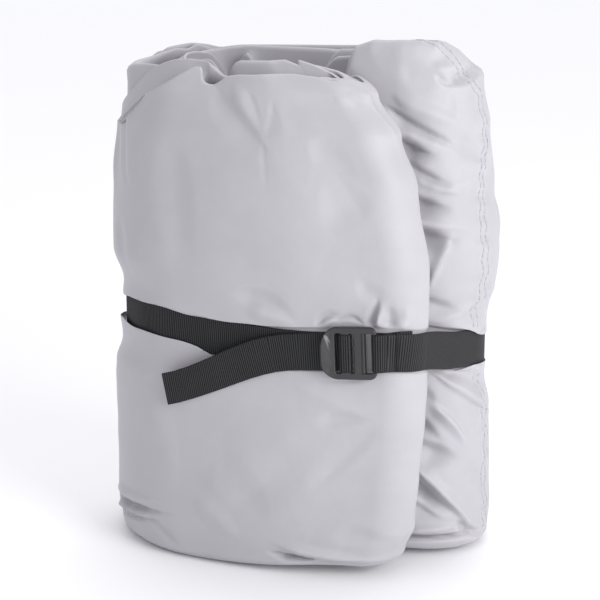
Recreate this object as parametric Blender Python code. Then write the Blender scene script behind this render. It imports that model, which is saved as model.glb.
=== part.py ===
"""A boat cover folded into a thick strip, wound into a bundle and cinched with a buckled webbing strap.

Metres, +Z up. The bundle stands on end with its broad front towards -Y, where the buckle sits.
In plan the strip's outer pack starts at the fold that ends the front, runs left along the front,
round the left side, along the back and round the right side, and tucks in behind the front. The
inner pack lies inside it all the way and joins it at that fold.
"""

from collections import namedtuple
from math import ceil, cos, hypot, radians, sin, tan

import bmesh
import bpy
from mathutils import Matrix, Vector

# ---------------------------------------------------------------- the bundle's sizes
BUNDLE_HEIGHT = 0.352
HALF_WIDTH = 0.134
HALF_DEPTH = 0.080
PACK_THICK = 0.022      # one pack of folded cloth
PACK_GAP = 0.003        # the parting between two packs
TUCK_FRONT = 0.026      # the tucked end's front face lies this far in front of the middle
LEFT_CENTRE = -0.064    # x of the left bend's centre
FRONT_FOLD = 0.0890     # x of the fold that ends the front
TUCK_END = -0.066       # x where the tucked end stops
LOBE_LEFT = 0.034       # x where the right lobe's top drops into the valley
FOOT = 0.007            # radius of the pack's lower edges
END_ROUND = 0.008       # how far a rounded end of the strip reaches past it
END_SHRINK = 0.45       # and its size there, as a share
CREST = 1.035           # the plan's depth at the middle of its width, as a share of the table's,
CREST_FALL = 0.11       # and how much of that it loses at the full half width
DRAW_FROM = -0.030      # x from which the front is drawn back,
DRAW_OVER = 0.115       # and the width over which that comes in
FRONT_SIDE = -0.02      # the front's packs lie in front of this y

# ---------------------------------------------------------------- the spacing of the mesh's sections
TUCKED_STEP = 0.028     # where the strip is hidden,
DROP_STEP = 0.012       # where the lobe's top drops,
LOBE_STEP = 0.020
INNER_FRONT_STEP = 0.018
OUTER_FRONT_STEP = 0.0115
BACK_STEP = 0.014

# ---------------------------------------------------------------- the strap's and buckle's sizes
STRAP_WIDE = 0.0254
STRAP_THICK = 0.0015
STRAP_LEVEL = 0.1554    # its middle's height at the bundle's axis
STRAP_RISE_X = -0.042   # its rise for each metre to the right
STRAP_RISE_Y = -0.119   # its rise for each metre to the back
REST_GAP = 0.0005       # between two pieces that touch
GROOVE_SHARE = 0.042    # how much of the plan the strap draws in
GROOVE_HALF = 0.0155    # half the height of the groove's flat floor
GROOVE_FADE = 0.026     # height over which the cloth swells out again
LOW_LEVELS = 6          # levels of the cloth's mesh below the groove, and above it
HIGH_LEVELS = 8

BUCKLE_X = 0.0590       # the buckle's middle on the front
BUCKLE_LONG = 0.040
BUCKLE_TALL = 0.036
BUCKLE_THICK = 0.0032
BUCKLE_BACK = 0.0043    # its back stands this far off the cloth, over two layers of webbing
LOW_BAR = 0.0015        # how far the bars that webbing goes round lie below its face
TAB_EDGE = -0.011       # along the buckle, where the tilted tab begins
TAB_TILT = radians(16)
TAB_RADII = (0.0105, 0.0125)
END_RADIUS = 0.0045     # at the corners of the buckle's sewn end
SLOT_RADIUS = 0.0012
EDGE_ROUND = 0.0006     # the rounding of the frame's edges
FLAT_BEHIND = 0.023     # half the length of the flat line that the buckle stands on
SLOPE_STEP = 0.004      # the strap's slope is read this far to each side

# ---------------------------------------------------------------- short tables
# The plan's width and depth at each share of the height, as shares of the full ones.
Level = namedtuple("Level", "share left right front back")
LEVELS = (
    Level(0.00, 0.995, 0.915, 0.945, 0.940),
    Level(0.02, 1.025, 0.940, 0.975, 0.970),
    Level(0.08, 1.045, 0.950, 0.995, 0.985),
    Level(0.20, 1.040, 0.935, 1.000, 0.995),
    Level(0.32, 1.035, 0.930, 0.995, 0.990),
    Level(0.45, 1.000, 0.925, 0.985, 0.980),
    Level(0.60, 1.015, 0.965, 1.005, 0.990),
    Level(0.72, 1.020, 0.940, 1.005, 0.990),
    Level(0.84, 1.008, 0.900, 0.985, 0.975),
    Level(0.93, 0.980, 0.875, 0.945, 0.950),
    Level(1.00, 0.920, 0.820, 0.890, 0.910),
)

# How far the fold that ends the front is drawn back at each share of the height.
Edge = namedtuple("Edge", "share back")
FRONT_EDGE = (
    Edge(0.00, 0.028),
    Edge(0.05, 0.018),
    Edge(0.10, 0.012),
    Edge(0.20, 0.008),
    Edge(0.32, 0.004),
    Edge(0.45, 0.002),
    Edge(0.60, 0.006),
    Edge(0.76, 0.011),
    Edge(0.85, 0.020),
    Edge(0.92, 0.033),
    Edge(1.00, 0.060),
)

# What the pack's upper and lower edges do at a place on the route: the height of each, and
# how fully the fold at the front's end draws it back.
Edges = namedtuple("Edges", "top foot front")
TUCKED = Edges(BUNDLE_HEIGHT - 0.041, 0.000, 0.0)
INNER_LOBE = Edges(BUNDLE_HEIGHT - 0.004, 0.000, 0.0)
INNER_BACK = Edges(BUNDLE_HEIGHT - 0.015, 0.000, 0.0)
INNER_FRONT = Edges(BUNDLE_HEIGHT - 0.011, 0.000, 1.0)
FRONT_END = Edges(BUNDLE_HEIGHT - 0.011, 0.008, 1.0)
OUTER_FRONT = Edges(BUNDLE_HEIGHT - 0.015, 0.000, 1.0)
OUTER_LEFT = Edges(BUNDLE_HEIGHT - 0.012, 0.000, 0.0)
OUTER_BACK = Edges(BUNDLE_HEIGHT - 0.009, 0.000, 0.0)
OUTER_SIDE = Edges(BUNDLE_HEIGHT - 0.012, 0.002, 0.0)
OUTER_LOBE = Edges(BUNDLE_HEIGHT, 0.003, 0.0)
OUTER_TUCK = Edges(BUNDLE_HEIGHT - 0.004, 0.004, 0.0)

# Soft dents and swellings of the outer face: where along the route and how high they lie,
# half their length and breadth, their lean from level in degrees, and how far they stand out.
Crease = namedtuple("Crease", "along height long broad lean out")
CREASES = (
    # the front, from its fold leftwards: two broad swellings, then folds and dents
    Crease(0.745, 0.262, 0.075, 0.060, 4, 0.0030),
    Crease(0.750, 0.078, 0.075, 0.055, -6, 0.0022),
    Crease(0.764, 0.309, 0.030, 0.014, 32, -0.0026),
    Crease(0.752, 0.204, 0.034, 0.013, 14, 0.0024),
    Crease(0.700, 0.206, 0.018, 0.014, -50, -0.0022),
    Crease(0.722, 0.060, 0.040, 0.014, -38, -0.0022),
    Crease(0.800, 0.040, 0.030, 0.014, 20, -0.0020),
    # the left bend
    Crease(0.842, 0.206, 0.040, 0.016, 8, 0.0032),
    Crease(0.870, 0.270, 0.034, 0.016, 55, -0.0026),
    Crease(0.905, 0.075, 0.036, 0.016, -30, -0.0024),
    # the back
    Crease(0.985, 0.245, 0.040, 0.018, 35, -0.0030),
    Crease(1.040, 0.290, 0.040, 0.016, -25, -0.0026),
    Crease(1.070, 0.215, 0.045, 0.015, 12, 0.0026),
    Crease(1.060, 0.085, 0.050, 0.018, -20, -0.0028),
    Crease(1.140, 0.250, 0.036, 0.016, 60, -0.0026),
    Crease(1.120, 0.045, 0.036, 0.014, 25, 0.0022),
    # the right lobe
    Crease(1.190, 0.300, 0.034, 0.015, -40, -0.0028),
    Crease(1.205, 0.110, 0.034, 0.014, 35, -0.0026),
    Crease(1.262, 0.314, 0.026, 0.013, 26, -0.0036),
    Crease(1.258, 0.288, 0.018, 0.013, 45, -0.0034),
    Crease(1.252, 0.252, 0.024, 0.013, 22, -0.0034),
    Crease(1.250, 0.222, 0.022, 0.012, -65, 0.0032),
    Crease(1.245, 0.112, 0.030, 0.012, 30, -0.0030),
    Crease(1.252, 0.084, 0.020, 0.012, 42, 0.0030),
    Crease(1.258, 0.046, 0.024, 0.014, 50, -0.0042),
)

# Where the pack's upper edge dips or stands proud: the place on the route, half the length
# and how far down it goes. The first two lie side by side, where the front's layers meet.
Dip = namedtuple("Dip", "along half down")
DIPS = (
    Dip(0.502, 0.024, 0.008),
    Dip(0.779, 0.024, 0.006),
    Dip(0.550, 0.020, 0.003),
    Dip(0.715, 0.020, 0.003),
    Dip(0.835, 0.022, -0.003),
    Dip(0.940, 0.024, 0.003),
    Dip(1.010, 0.026, -0.003),
    Dip(1.085, 0.026, 0.004),
    Dip(1.205, 0.020, 0.003),
    Dip(1.268, 0.018, 0.003),
)

# A point of the webbing's middle line: distance right of the buckle's middle, height off the
# cloth, and how far it hangs below the strap's own level. The strap lies on the cloth, and a
# second layer lies on the first.
Thread = namedtuple("Thread", "along off drop")
ON_CLOTH = REST_GAP + STRAP_THICK / 2
LAYER_GAP = 0.00035    # between two layers of webbing
ON_WEBBING = ON_CLOTH + STRAP_THICK + LAYER_GAP
SEWN_UNDER = (
    Thread(0.0420, ON_CLOTH, 0),
    Thread(0.0300, ON_CLOTH, 0),
    Thread(0.0250, 0.0017, 0),
)
SEWN_OVER = (
    Thread(0.0215, 0.0073, 0),
    Thread(0.0255, 0.0055, 0),
    Thread(0.0300, 0.0036, 0),
    Thread(0.0340, ON_WEBBING, 0),
    Thread(0.0430, ON_WEBBING, 0),
    Thread(0.0470, 0.0021, 0),
    Thread(0.0510, ON_CLOTH, 0),
)
UNDER_BUCKLE = (Thread(-0.0220, ON_CLOTH, 0), Thread(-0.0015, ON_CLOTH, 0))
TAIL = (
    Thread(-0.0110, ON_WEBBING, 0.0004),
    Thread(-0.0180, ON_WEBBING, 0.0010),
    Thread(-0.0270, ON_WEBBING, 0.0020),
    Thread(-0.0360, 0.0033, 0.0032),
    Thread(-0.0450, 0.0037, 0.0048),
    Thread(-0.0540, 0.0043, 0.0070),
    Thread(-0.0630, 0.0051, 0.0100),
    Thread(-0.0720, 0.0060, 0.0136),
    Thread(-0.0810, 0.0070, 0.0176),
    Thread(-0.0900, 0.0080, 0.0218),
    Thread(-0.1000, 0.0090, 0.0264),
    Thread(-0.1100, 0.0099, 0.0308),
    Thread(-0.1200, 0.0107, 0.0350),
    Thread(-0.1300, 0.0114, 0.0390),
)

# The webbing's turns round the buckle's bars: the turn's centre, its radius to the middle
# line, and the angles it goes through. The first is the sewn loop; the others are the free
# end's way up, over the grip bar and down again.
Turn = namedtuple("Turn", "along off radius start end")
SEWN_LOOP = Turn(0.0175, 0.0054, 0.0022, -90, -270)
THROUGH = (
    Turn(-0.0016, ON_CLOTH + 0.0025, 0.0025, -60, 0),
    Turn(-0.0008, 0.0058, 0.0017, 0, 90),
    Turn(-0.0036, 0.0058, 0.0017, 90, 180),
    Turn(-0.0070, ON_WEBBING + 0.0017, 0.0017, 0, -90),
)


# ---------------------------------------------------------------- helpers
def smooth(share):
    share = min(max(share, 0.0), 1.0)
    return share * share * (3 - 2 * share)


def mix(a, b, share):
    """Two records of numbers, mixed."""
    return type(a)(*(u + (v - u) * share for u, v in zip(a, b)))


def at_height(rows, z):
    """The row of a table at a height, eased between the two rows around it."""
    share = min(max(z / BUNDLE_HEIGHT, 0.0), 1.0)
    for low, high in zip(rows, rows[1:]):
        if share <= high.share:
            return mix(low, high, smooth((share - low.share) / (high.share - low.share)))
    return rows[-1]


def strap_height(x, y):
    return STRAP_LEVEL + STRAP_RISE_X * x + STRAP_RISE_Y * y


def groove(x, y, z):
    """1 on the floor of the strap's groove, easing to 0 above and below it."""
    away = abs(z - strap_height(x, y))
    return 1 - smooth((away - GROOVE_HALF) / GROOVE_FADE)


def placed(x, y, z, front):
    """Where a plan point of the wound strip lies at a height; front is 1 on the front packs."""
    deep = groove(x, y, z)
    level_z = z + (strap_height(x, y) - z) * deep
    level = at_height(LEVELS, level_z)
    side = level.left if x < 0 else level.right
    face = level.front if y < 0 else level.back
    drawn = 1 - GROOVE_SHARE * deep
    barrel = CREST - CREST_FALL * (x / HALF_WIDTH) ** 2
    back = front * at_height(FRONT_EDGE, level_z).back * smooth((x - DRAW_FROM) / DRAW_OVER)
    return Vector((x * side * drawn - back, y * face * drawn * barrel, z))


# ---------------------------------------------------------------- the wound strip's route
Station = namedtuple("Station", "x y edges")


def run(x_from, x_to, y, edges_from, edges_to, spacing):
    """A straight stretch along X, without its last point."""
    count = max(1, ceil(abs(x_to - x_from) / spacing))
    shares = [i / count for i in range(count)]
    edges = [mix(edges_from, edges_to, smooth(share)) for share in shares]
    return [Station(x_from + (x_to - x_from) * share, y, rim) for share, rim in zip(shares, edges)]


def bend(centre, half_x, half_y, start, end, edges_from, edges_to, count):
    """An elliptical stretch about a centre, without its last point; angles are in degrees."""
    made = []
    for i in range(count):
        share = i / count
        turn = radians(start + (end - start) * share)
        edges = mix(edges_from, edges_to, smooth(share))
        made.append(Station(centre[0] + half_x * cos(turn), centre[1] + half_y * sin(turn), edges))
    return made


def wound_route():
    """The middle line of the pack, from the inner tucked end to the outer one."""
    half = (PACK_THICK + PACK_GAP) / 2
    face = HALF_DEPTH - PACK_THICK / 2
    middle = face - half
    tuck = -TUCK_FRONT + PACK_THICK + PACK_GAP / 2
    left_half = HALF_WIDTH + LEFT_CENTRE - PACK_THICK - PACK_GAP / 2
    lobe_half = (middle - tuck) / 2
    lobe_x = HALF_WIDTH - PACK_THICK - PACK_GAP / 2 - lobe_half
    lobe = (lobe_x, (middle + tuck) / 2)
    left = (LEFT_CENTRE, 0.0)
    drop_from, drop_to = LOBE_LEFT - 0.016, LOBE_LEFT + 0.008
    route = []
    # the inner pack: tucked end, round inside the right lobe, back, left bend, front
    route += run(TUCK_END, drop_from, tuck + half, TUCKED, TUCKED, TUCKED_STEP)
    route += run(drop_from, drop_to, tuck + half, TUCKED, INNER_LOBE, DROP_STEP)
    route += run(drop_to, lobe_x, tuck + half, INNER_LOBE, INNER_LOBE, LOBE_STEP)
    route += bend(lobe, lobe_half - half, lobe_half - half, -90, 90, INNER_LOBE, INNER_LOBE, 8)
    route += run(lobe_x, LEFT_CENTRE, middle - half, INNER_LOBE, INNER_BACK, TUCKED_STEP)
    route += bend(left, left_half - half, middle - half, 90, 270, INNER_BACK, INNER_FRONT, 12)
    route += run(LEFT_CENTRE, FRONT_FOLD, half - middle, INNER_FRONT, FRONT_END, INNER_FRONT_STEP)
    # the fold that ends the front, from the inner pack to the outer one
    route += bend((FRONT_FOLD, -middle), half, half, 90, -90, FRONT_END, FRONT_END, 12)
    # the outer pack: front, left bend, back, right bend, tucked end
    route += run(FRONT_FOLD, LEFT_CENTRE, -face, FRONT_END, OUTER_FRONT, OUTER_FRONT_STEP)
    route += bend(left, left_half + half, face, 270, 90, OUTER_FRONT, OUTER_LEFT, 16)
    route += run(LEFT_CENTRE, lobe_x, face, OUTER_LEFT, OUTER_BACK, BACK_STEP)
    route += bend(lobe, lobe_half + half, lobe_half + half, 90, 0, OUTER_BACK, OUTER_SIDE, 7)
    route += bend(lobe, lobe_half + half, lobe_half + half, 0, -90, OUTER_SIDE, OUTER_LOBE, 8)
    route += run(lobe_x, drop_to, tuck - half, OUTER_LOBE, OUTER_TUCK, BACK_STEP)
    route += run(drop_to, drop_from, tuck - half, OUTER_TUCK, TUCKED, DROP_STEP)
    route += run(drop_from, TUCK_END, tuck - half, TUCKED, TUCKED, TUCKED_STEP)
    route.append(Station(TUCK_END, tuck - half, TUCKED))
    return route


def outward_normals(route):
    """For each station, the unit vector to the left of the way the route goes: the pack's outside."""
    made = []
    for i in range(len(route)):
        before, after = route[max(i - 1, 0)], route[min(i + 1, len(route) - 1)]
        dx, dy = after.x - before.x, after.y - before.y
        length = hypot(dx, dy)
        made.append((-dy / length, dx / length))
    return made


def distances(route):
    """How far along the route each station is."""
    made = [0.0]
    for a, b in zip(route, route[1:]):
        made.append(made[-1] + hypot(b.x - a.x, b.y - a.y))
    return made


def fold_index(route):
    """The station at the tip of the fold that ends the front: past it, the pack is the outer one."""
    fronts = [i for i, station in enumerate(route) if station.y < FRONT_SIDE]
    return max(fronts, key=lambda i: route[i].x)


# ---------------------------------------------------------------- the cover
def creased(along, z):
    """How far the outer face stands out of its smooth form at a place."""
    total = 0.0
    for crease in CREASES:
        onward, up = along - crease.along, z - crease.height
        turn = radians(crease.lean)
        lengthwise = (onward * cos(turn) + up * sin(turn)) / crease.long
        across = (up * cos(turn) - onward * sin(turn)) / crease.broad
        if abs(lengthwise) < 1 and abs(across) < 1:
            total += crease.out * ((1 - lengthwise ** 2) * (1 - across ** 2)) ** 2
    return total


def dipped(along):
    """How far the upper edge lies below its smooth line at a place."""
    return sum(dip.down * (1 - smooth(abs(along - dip.along) / dip.half)) for dip in DIPS)


def section(station, normal, along, outer):
    """One ring of the pack: up its outside, over its rim, down its inside and across its foot."""
    half = PACK_THICK / 2
    strap = strap_height(station.x, station.y)
    low, high = strap - GROOVE_HALF, strap + GROOVE_HALF
    foot, rim = station.edges.foot, station.edges.top - dipped(along) - half
    side, fade_low, fade_high = foot + FOOT, low - GROOVE_FADE, high + GROOVE_FADE
    ring = [(half - FOOT * 0.3, foot + FOOT * 0.3), (half, side)]
    ring += [(half, side + (fade_low - side) * s / LOW_LEVELS) for s in range(1, LOW_LEVELS + 1)]
    ring += [(half, z) for z in (low - GROOVE_FADE / 2, low, high, high + GROOVE_FADE / 2)]
    ring += [(half, fade_high + (rim - fade_high) * s / HIGH_LEVELS) for s in range(HIGH_LEVELS + 1)]
    ring += [(half * cos(radians(a)), rim + half * sin(radians(a))) for a in (40, 75, 105, 140)]
    ring += [(-half, fade_high + (rim - fade_high) * s) for s in (1.0, 0.5, 0.0)]
    ring += [(-half, z) for z in (high, low)]
    ring += [(-half, side + (fade_low - side) * s) for s in (1.0, 0.5, 0.0)]
    ring += [(-half + FOOT, foot), (half - FOOT, foot)]
    points = []
    for offset, z in ring:
        push = offset
        if outer and offset > 0:
            push += creased(along, z) * (offset / half) * (1 - groove(station.x, station.y, z))
        x, y = station.x + normal[0] * push, station.y + normal[1] * push
        points.append(placed(x, y, z, station.edges.front))
    return points


def loft(name, rings, material):
    """A closed solid through rings of equal count, each joined to the next."""
    mesh = bmesh.new()
    rows = [[mesh.verts.new(point) for point in ring] for ring in rings]
    count = len(rings[0])
    for here, there in zip(rows, rows[1:]):
        for k in range(count):
            after = (k + 1) % count
            mesh.faces.new((here[k], here[after], there[after], there[k]))
    mesh.faces.new(rows[0][::-1])
    mesh.faces.new(rows[-1])
    bmesh.ops.triangulate(mesh, faces=[face for face in mesh.faces if len(face.verts) > 4])
    bmesh.ops.recalc_face_normals(mesh, faces=mesh.faces)
    data = bpy.data.meshes.new(name)
    mesh.to_mesh(data)
    mesh.free()
    return finished(name, data, material)


def finished(name, data, material):
    data.materials.clear()
    data.materials.append(material)
    data.shade_smooth()
    data.set_sharp_from_angle(angle=radians(35))
    thing = bpy.data.objects.new(name, data)
    bpy.context.scene.collection.objects.link(thing)
    return thing


def rounded_end(ring, inner):
    """A smaller ring past the pack's last one, so that its end is rounded."""
    middle_x = sum(point.x for point in ring) / len(ring)
    middle_y = sum(point.y for point in ring) / len(ring)
    made = []
    for point, before in zip(ring, inner):
        way = Vector((point.x - before.x, point.y - before.y, 0)).normalized() * END_ROUND
        flat = Vector((middle_x, middle_y, point.z))
        made.append(flat + (point - flat) * END_SHRINK + way)
    return made


def make_cover(material):
    route = wound_route()
    fold = fold_index(route)
    rings = [
        section(station, normal, along, i >= fold)
        for i, (station, normal, along) in enumerate(
            zip(route, outward_normals(route), distances(route))
        )
    ]
    rings = [rounded_end(rings[0], rings[1]), *rings, rounded_end(rings[-1], rings[-2])]
    return loft("cover", rings, material)


# ---------------------------------------------------------------- the line the strap takes
STRAIGHT = 1e-8     # in square metres: a corner that turns less is left out


def turn_of(a, b, c):
    return (b[0] - a[0]) * (c[1] - a[1]) - (b[1] - a[1]) * (c[0] - a[0])


def hull(points):
    """The convex line round points in plan, anticlockwise from above."""
    points = sorted(points)
    halves = []
    for line in (points, points[::-1]):
        kept = []
        for point in line:
            while len(kept) > 1 and turn_of(kept[-2], kept[-1], point) <= STRAIGHT:
                kept.pop()
            kept.append(point)
        halves += kept[:-1]
    return halves


def tight_line():
    """The taut line round the outer pack at the strap's height, in plan, flat behind the buckle."""
    route = wound_route()
    fold = fold_index(route)
    points = []
    for i, (station, normal) in enumerate(zip(route, outward_normals(route))):
        if i >= fold - 4:
            x, y = station.x + normal[0] * PACK_THICK / 2, station.y + normal[1] * PACK_THICK / 2
            spot = placed(x, y, strap_height(x, y), station.edges.front)
            points.append((spot.x, spot.y))
    front = [point for point in hull(points) if point[1] < -0.05]
    before = max((point for point in front if point[0] < BUCKLE_X), key=lambda point: point[0])
    after = min((point for point in front if point[0] >= BUCKLE_X), key=lambda point: point[0])
    slope = (after[1] - before[1]) / (after[0] - before[0])
    for x in (BUCKLE_X - FLAT_BEHIND, BUCKLE_X + FLAT_BEHIND):
        points.append((x, before[1] + (x - before[0]) * slope))
    line = hull(points)
    first = line.index(points[-2])
    return line[first:] + line[:first]


class Line:
    """A closed convex line in plan, walked by distance, with a place at any height off it.

    Its first side is the flat one behind the buckle, where lengths stay true at any height."""

    def __init__(self, points, start_x):
        self.points = points
        self.ways = []
        for a, b in zip(points, points[1:] + points[:1]):
            length = hypot(b[0] - a[0], b[1] - a[1])
            self.ways.append(((b[0] - a[0]) / length, (b[1] - a[1]) / length, length))
        self.mitres = []
        for before, after in zip(self.ways[-1:] + self.ways[:-1], self.ways):
            nx, ny = before[1] + after[1], -before[0] - after[0]
            size = (nx * nx + ny * ny) / 2
            self.mitres.append((nx / size, ny / size))
        self.length = sum(way[2] for way in self.ways)
        self.start = (start_x - points[0][0]) / self.ways[0][0]

    def place(self, along, off):
        """The plan point at a distance along from the start and a height off the line."""
        along = (along + self.start) % self.length
        for i, way in enumerate(self.ways):
            if along <= way[2]:
                break
            along -= way[2]
        j = (i + 1) % len(self.points)
        flat = (way[1], -way[0])
        normals = (self.mitres[i], self.mitres[j]) if i else (flat, flat)
        corners = [
            (self.points[k][0] + normal[0] * off, self.points[k][1] + normal[1] * off)
            for k, normal in zip((i, j), normals)
        ]
        return tuple(a + (b - a) * along / way[2] for a, b in zip(*corners))

    def corners_between(self, start, end):
        """The distances from the start of the line's corners that lie between two distances."""
        made, along = [], -self.start
        for way in self.ways * 2:
            if start < along < end:
                made.append(along)
            along += way[2]
        return made


def turned(turn):
    """Points of one turn of the webbing round a bar."""
    count = ceil(abs(turn.end - turn.start) / 20)
    made = []
    for i in range(count + 1):
        angle = radians(turn.start + (turn.end - turn.start) * i / count)
        along, off = turn.along + turn.radius * cos(angle), turn.off + turn.radius * sin(angle)
        made.append(Thread(along, off, 0))
    return made


def bent_at_corners(line, threads):
    """The same webbing with a point added wherever it passes a corner of the line."""
    made = []
    for here, there in zip(threads, threads[1:]):
        made.append(here)
        corners = line.corners_between(*sorted((here.along, there.along)))
        if here.along > there.along:
            corners.reverse()
        for corner in corners:
            if min(abs(corner - here.along), abs(corner - there.along)) > 0.001:
                made.append(mix(here, there, (corner - here.along) / (there.along - here.along)))
    return made + threads[-1:]


def strap_threads(line):
    """The webbing from its sewn end, round the end bar, round the bundle and through the buckle."""
    threads = [*SEWN_UNDER, *turned(SEWN_LOOP), *SEWN_OVER]
    last = [*UNDER_BUCKLE]
    for turn in THROUGH:
        last += turned(turn)
    last += TAIL
    threads += [thread._replace(along=thread.along + line.length) for thread in last]
    return bent_at_corners(line, threads)


def slope_at(line, along):
    """The strap's rise for each metre along the line."""
    ahead, behind = line.place(along + SLOPE_STEP, 0), line.place(along - SLOPE_STEP, 0)
    return (strap_height(*ahead) - strap_height(*behind)) / (2 * SLOPE_STEP)


def make_strap(material):
    line = Line(tight_line(), BUCKLE_X)
    threads = strap_threads(line)
    rings = []
    for i, thread in enumerate(threads):
        before, after = threads[max(i - 1, 0)], threads[min(i + 1, len(threads) - 1)]
        step_along, step_off = after.along - before.along, after.off - before.off
        step = hypot(step_along, step_off)
        half_along = -step_off / step * STRAP_THICK / 2
        half_off = step_along / step * STRAP_THICK / 2
        slope = slope_at(line, thread.along)
        if after.drop != before.drop:
            slope -= (after.drop - before.drop) / step_along
        across = hypot(1, slope)
        ring = []
        for side, edge in ((1, -1), (1, 1), (-1, 1), (-1, -1)):
            reach = edge * STRAP_WIDE / 2 / across
            along = thread.along + side * half_along
            x, y = line.place(along - reach * slope, thread.off + side * half_off)
            middle = line.place(along, 0)
            ring.append(Vector((x, y, strap_height(*middle) - thread.drop + reach)))
        rings.append(ring)
    return loft("strap", rings, material)


# ---------------------------------------------------------------- the buckle
def oval_corner_box(left, right, half_tall, left_radii, right_radius, count):
    """An outline in the buckle's plane; its left corners may be elliptical."""
    corners = (
        ((right - right_radius, half_tall - right_radius), (right_radius, right_radius), 0),
        ((left + left_radii[0], half_tall - left_radii[1]), left_radii, 90),
        ((left + left_radii[0], left_radii[1] - half_tall), left_radii, 180),
        ((right - right_radius, right_radius - half_tall), (right_radius, right_radius), 270),
    )
    made = []
    for centre, radii, start in corners:
        for i in range(count + 1):
            turn = radians(start + 90 * i / count)
            made.append((centre[0] + radii[0] * cos(turn), centre[1] + radii[1] * sin(turn)))
    return made


# The openings along the buckle, from the tab to its sewn end.
Slot = namedtuple("Slot", "left right tall")
SLOTS = (
    Slot(TAB_EDGE, -0.0040, 0.0270),
    Slot(-0.0002, 0.0037, 0.0266),
    Slot(0.0121, 0.0167, 0.0268),
)

# The two bars that webbing goes round, whose faces are lower than the frame's.
LOW_BARS = (Slot(-0.0046, 0.0004, 0.0260), Slot(0.0159, 0.0230, 0.0260))


def slab(name, outlines, thick, rounding):
    """A flat plate with its openings, its edges rounded, as a mesh in its own axes."""
    curve = bpy.data.curves.new(name, "CURVE")
    curve.dimensions = "2D"
    curve.fill_mode = "BOTH"
    curve.extrude = thick / 2 - rounding
    curve.bevel_depth = rounding
    curve.bevel_resolution = 1
    curve.offset = -rounding
    for outline in outlines:
        spline = curve.splines.new("POLY")
        spline.points.add(len(outline) - 1)
        for point, (x, y) in zip(spline.points, outline):
            point.co = (x, y, 0, 1)
        spline.use_cyclic_u = True
    thing = bpy.data.objects.new(name, curve)
    bpy.context.scene.collection.objects.link(thing)
    graph = bpy.context.evaluated_depsgraph_get()
    data = bpy.data.meshes.new_from_object(thing.evaluated_get(graph))
    bpy.data.objects.remove(thing, do_unlink=True)
    mesh = bmesh.new()
    mesh.from_mesh(data)
    bmesh.ops.remove_doubles(mesh, verts=mesh.verts, dist=1e-5)
    bmesh.ops.recalc_face_normals(mesh, faces=mesh.faces)
    mesh.to_mesh(data)
    mesh.free()
    return data


def make_cutter(name, slot, base, target):
    """A box that lowers a bar's face from a height upwards."""
    mesh = bmesh.new()
    bmesh.ops.create_cube(mesh, size=1)
    size = Vector((slot.right - slot.left, slot.tall, 0.01))
    middle = Vector(((slot.right + slot.left) / 2, 0, base + size.z / 2))
    for vert in mesh.verts:
        vert.co = Vector(a * b for a, b in zip(vert.co, size)) + middle
    data = bpy.data.meshes.new(name)
    mesh.to_mesh(data)
    mesh.free()
    cutter = bpy.data.objects.new(name, data)
    bpy.context.scene.collection.objects.link(cutter)
    cutter.hide_render = True
    cutter.display_type = "WIRE"
    cutter.matrix_world = target
    return cutter


def make_buckle(material):
    line = Line(tight_line(), BUCKLE_X)
    half = BUCKLE_LONG / 2
    outlines = [oval_corner_box(-half, half, BUCKLE_TALL / 2, TAB_RADII, END_RADIUS, 6)]
    for slot in SLOTS:
        radii = (SLOT_RADIUS, SLOT_RADIUS)
        outlines.append(oval_corner_box(slot.left, slot.right, slot.tall / 2, radii, SLOT_RADIUS, 3))
    data = slab("buckle", outlines, BUCKLE_THICK, EDGE_ROUND)
    for vert in data.vertices:
        if vert.co.x < TAB_EDGE:
            vert.co.z += (TAB_EDGE - vert.co.x) * tan(TAB_TILT)
    buckle = finished("buckle", data, material)
    ahead, behind = line.place(FLAT_BEHIND / 2, 0), line.place(-FLAT_BEHIND / 2, 0)
    middle = line.place(0, 0)
    x, y = line.place(0, BUCKLE_BACK + BUCKLE_THICK / 2)
    way = Vector((ahead[0] - behind[0], ahead[1] - behind[1], 0))
    way.z = STRAP_RISE_X * way.x + STRAP_RISE_Y * way.y
    way.normalize()
    out = Vector((way.y, -way.x, 0)).normalized()
    up = out.cross(way)
    spot = Matrix((way, up, out)).transposed().to_4x4()
    spot.translation = (x, y, strap_height(*middle))
    buckle.matrix_world = spot
    for number, bar in enumerate(LOW_BARS):
        cut = buckle.modifiers.new(f"low bar {number}", "BOOLEAN")
        cut.operation = "DIFFERENCE"
        cut.solver = "EXACT"
        cut.object = make_cutter(f"low bar cutter {number}", bar, BUCKLE_THICK / 2 - LOW_BAR, spot)
    return buckle


# ---------------------------------------------------------------- start
def settle():
    """Moves everything so that the whole bundle's box is centred on the origin and stands at height 0."""
    bpy.context.view_layer.update()
    corners = []
    for thing in bpy.data.objects:
        if not thing.hide_render:
            corners += [thing.matrix_world @ vert.co for vert in thing.data.vertices]
    low = [min(corner[k] for corner in corners) for k in range(3)]
    high = [max(corner[k] for corner in corners) for k in range(3)]
    shift = Vector((-(low[0] + high[0]) / 2, -(low[1] + high[1]) / 2, -low[2]))
    for thing in bpy.data.objects:
        thing.matrix_world.translation += shift


def make_material(name, colour, roughness):
    material = bpy.data.materials.new(name)
    material.use_nodes = True
    shader = material.node_tree.nodes["Principled BSDF"]
    shader.inputs["Base Color"].default_value = (*colour, 1)
    shader.inputs["Roughness"].default_value = roughness
    return material


def main():
    for thing in list(bpy.data.objects):
        bpy.data.objects.remove(thing, do_unlink=True)
    make_cover(make_material("coated polyester, light grey", (0.56, 0.55, 0.58), 0.55))
    make_strap(make_material("polypropylene webbing, black", (0.03, 0.03, 0.033), 0.7))
    make_buckle(make_material("acetal, black", (0.02, 0.02, 0.022), 0.4))
    settle()


main()
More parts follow.
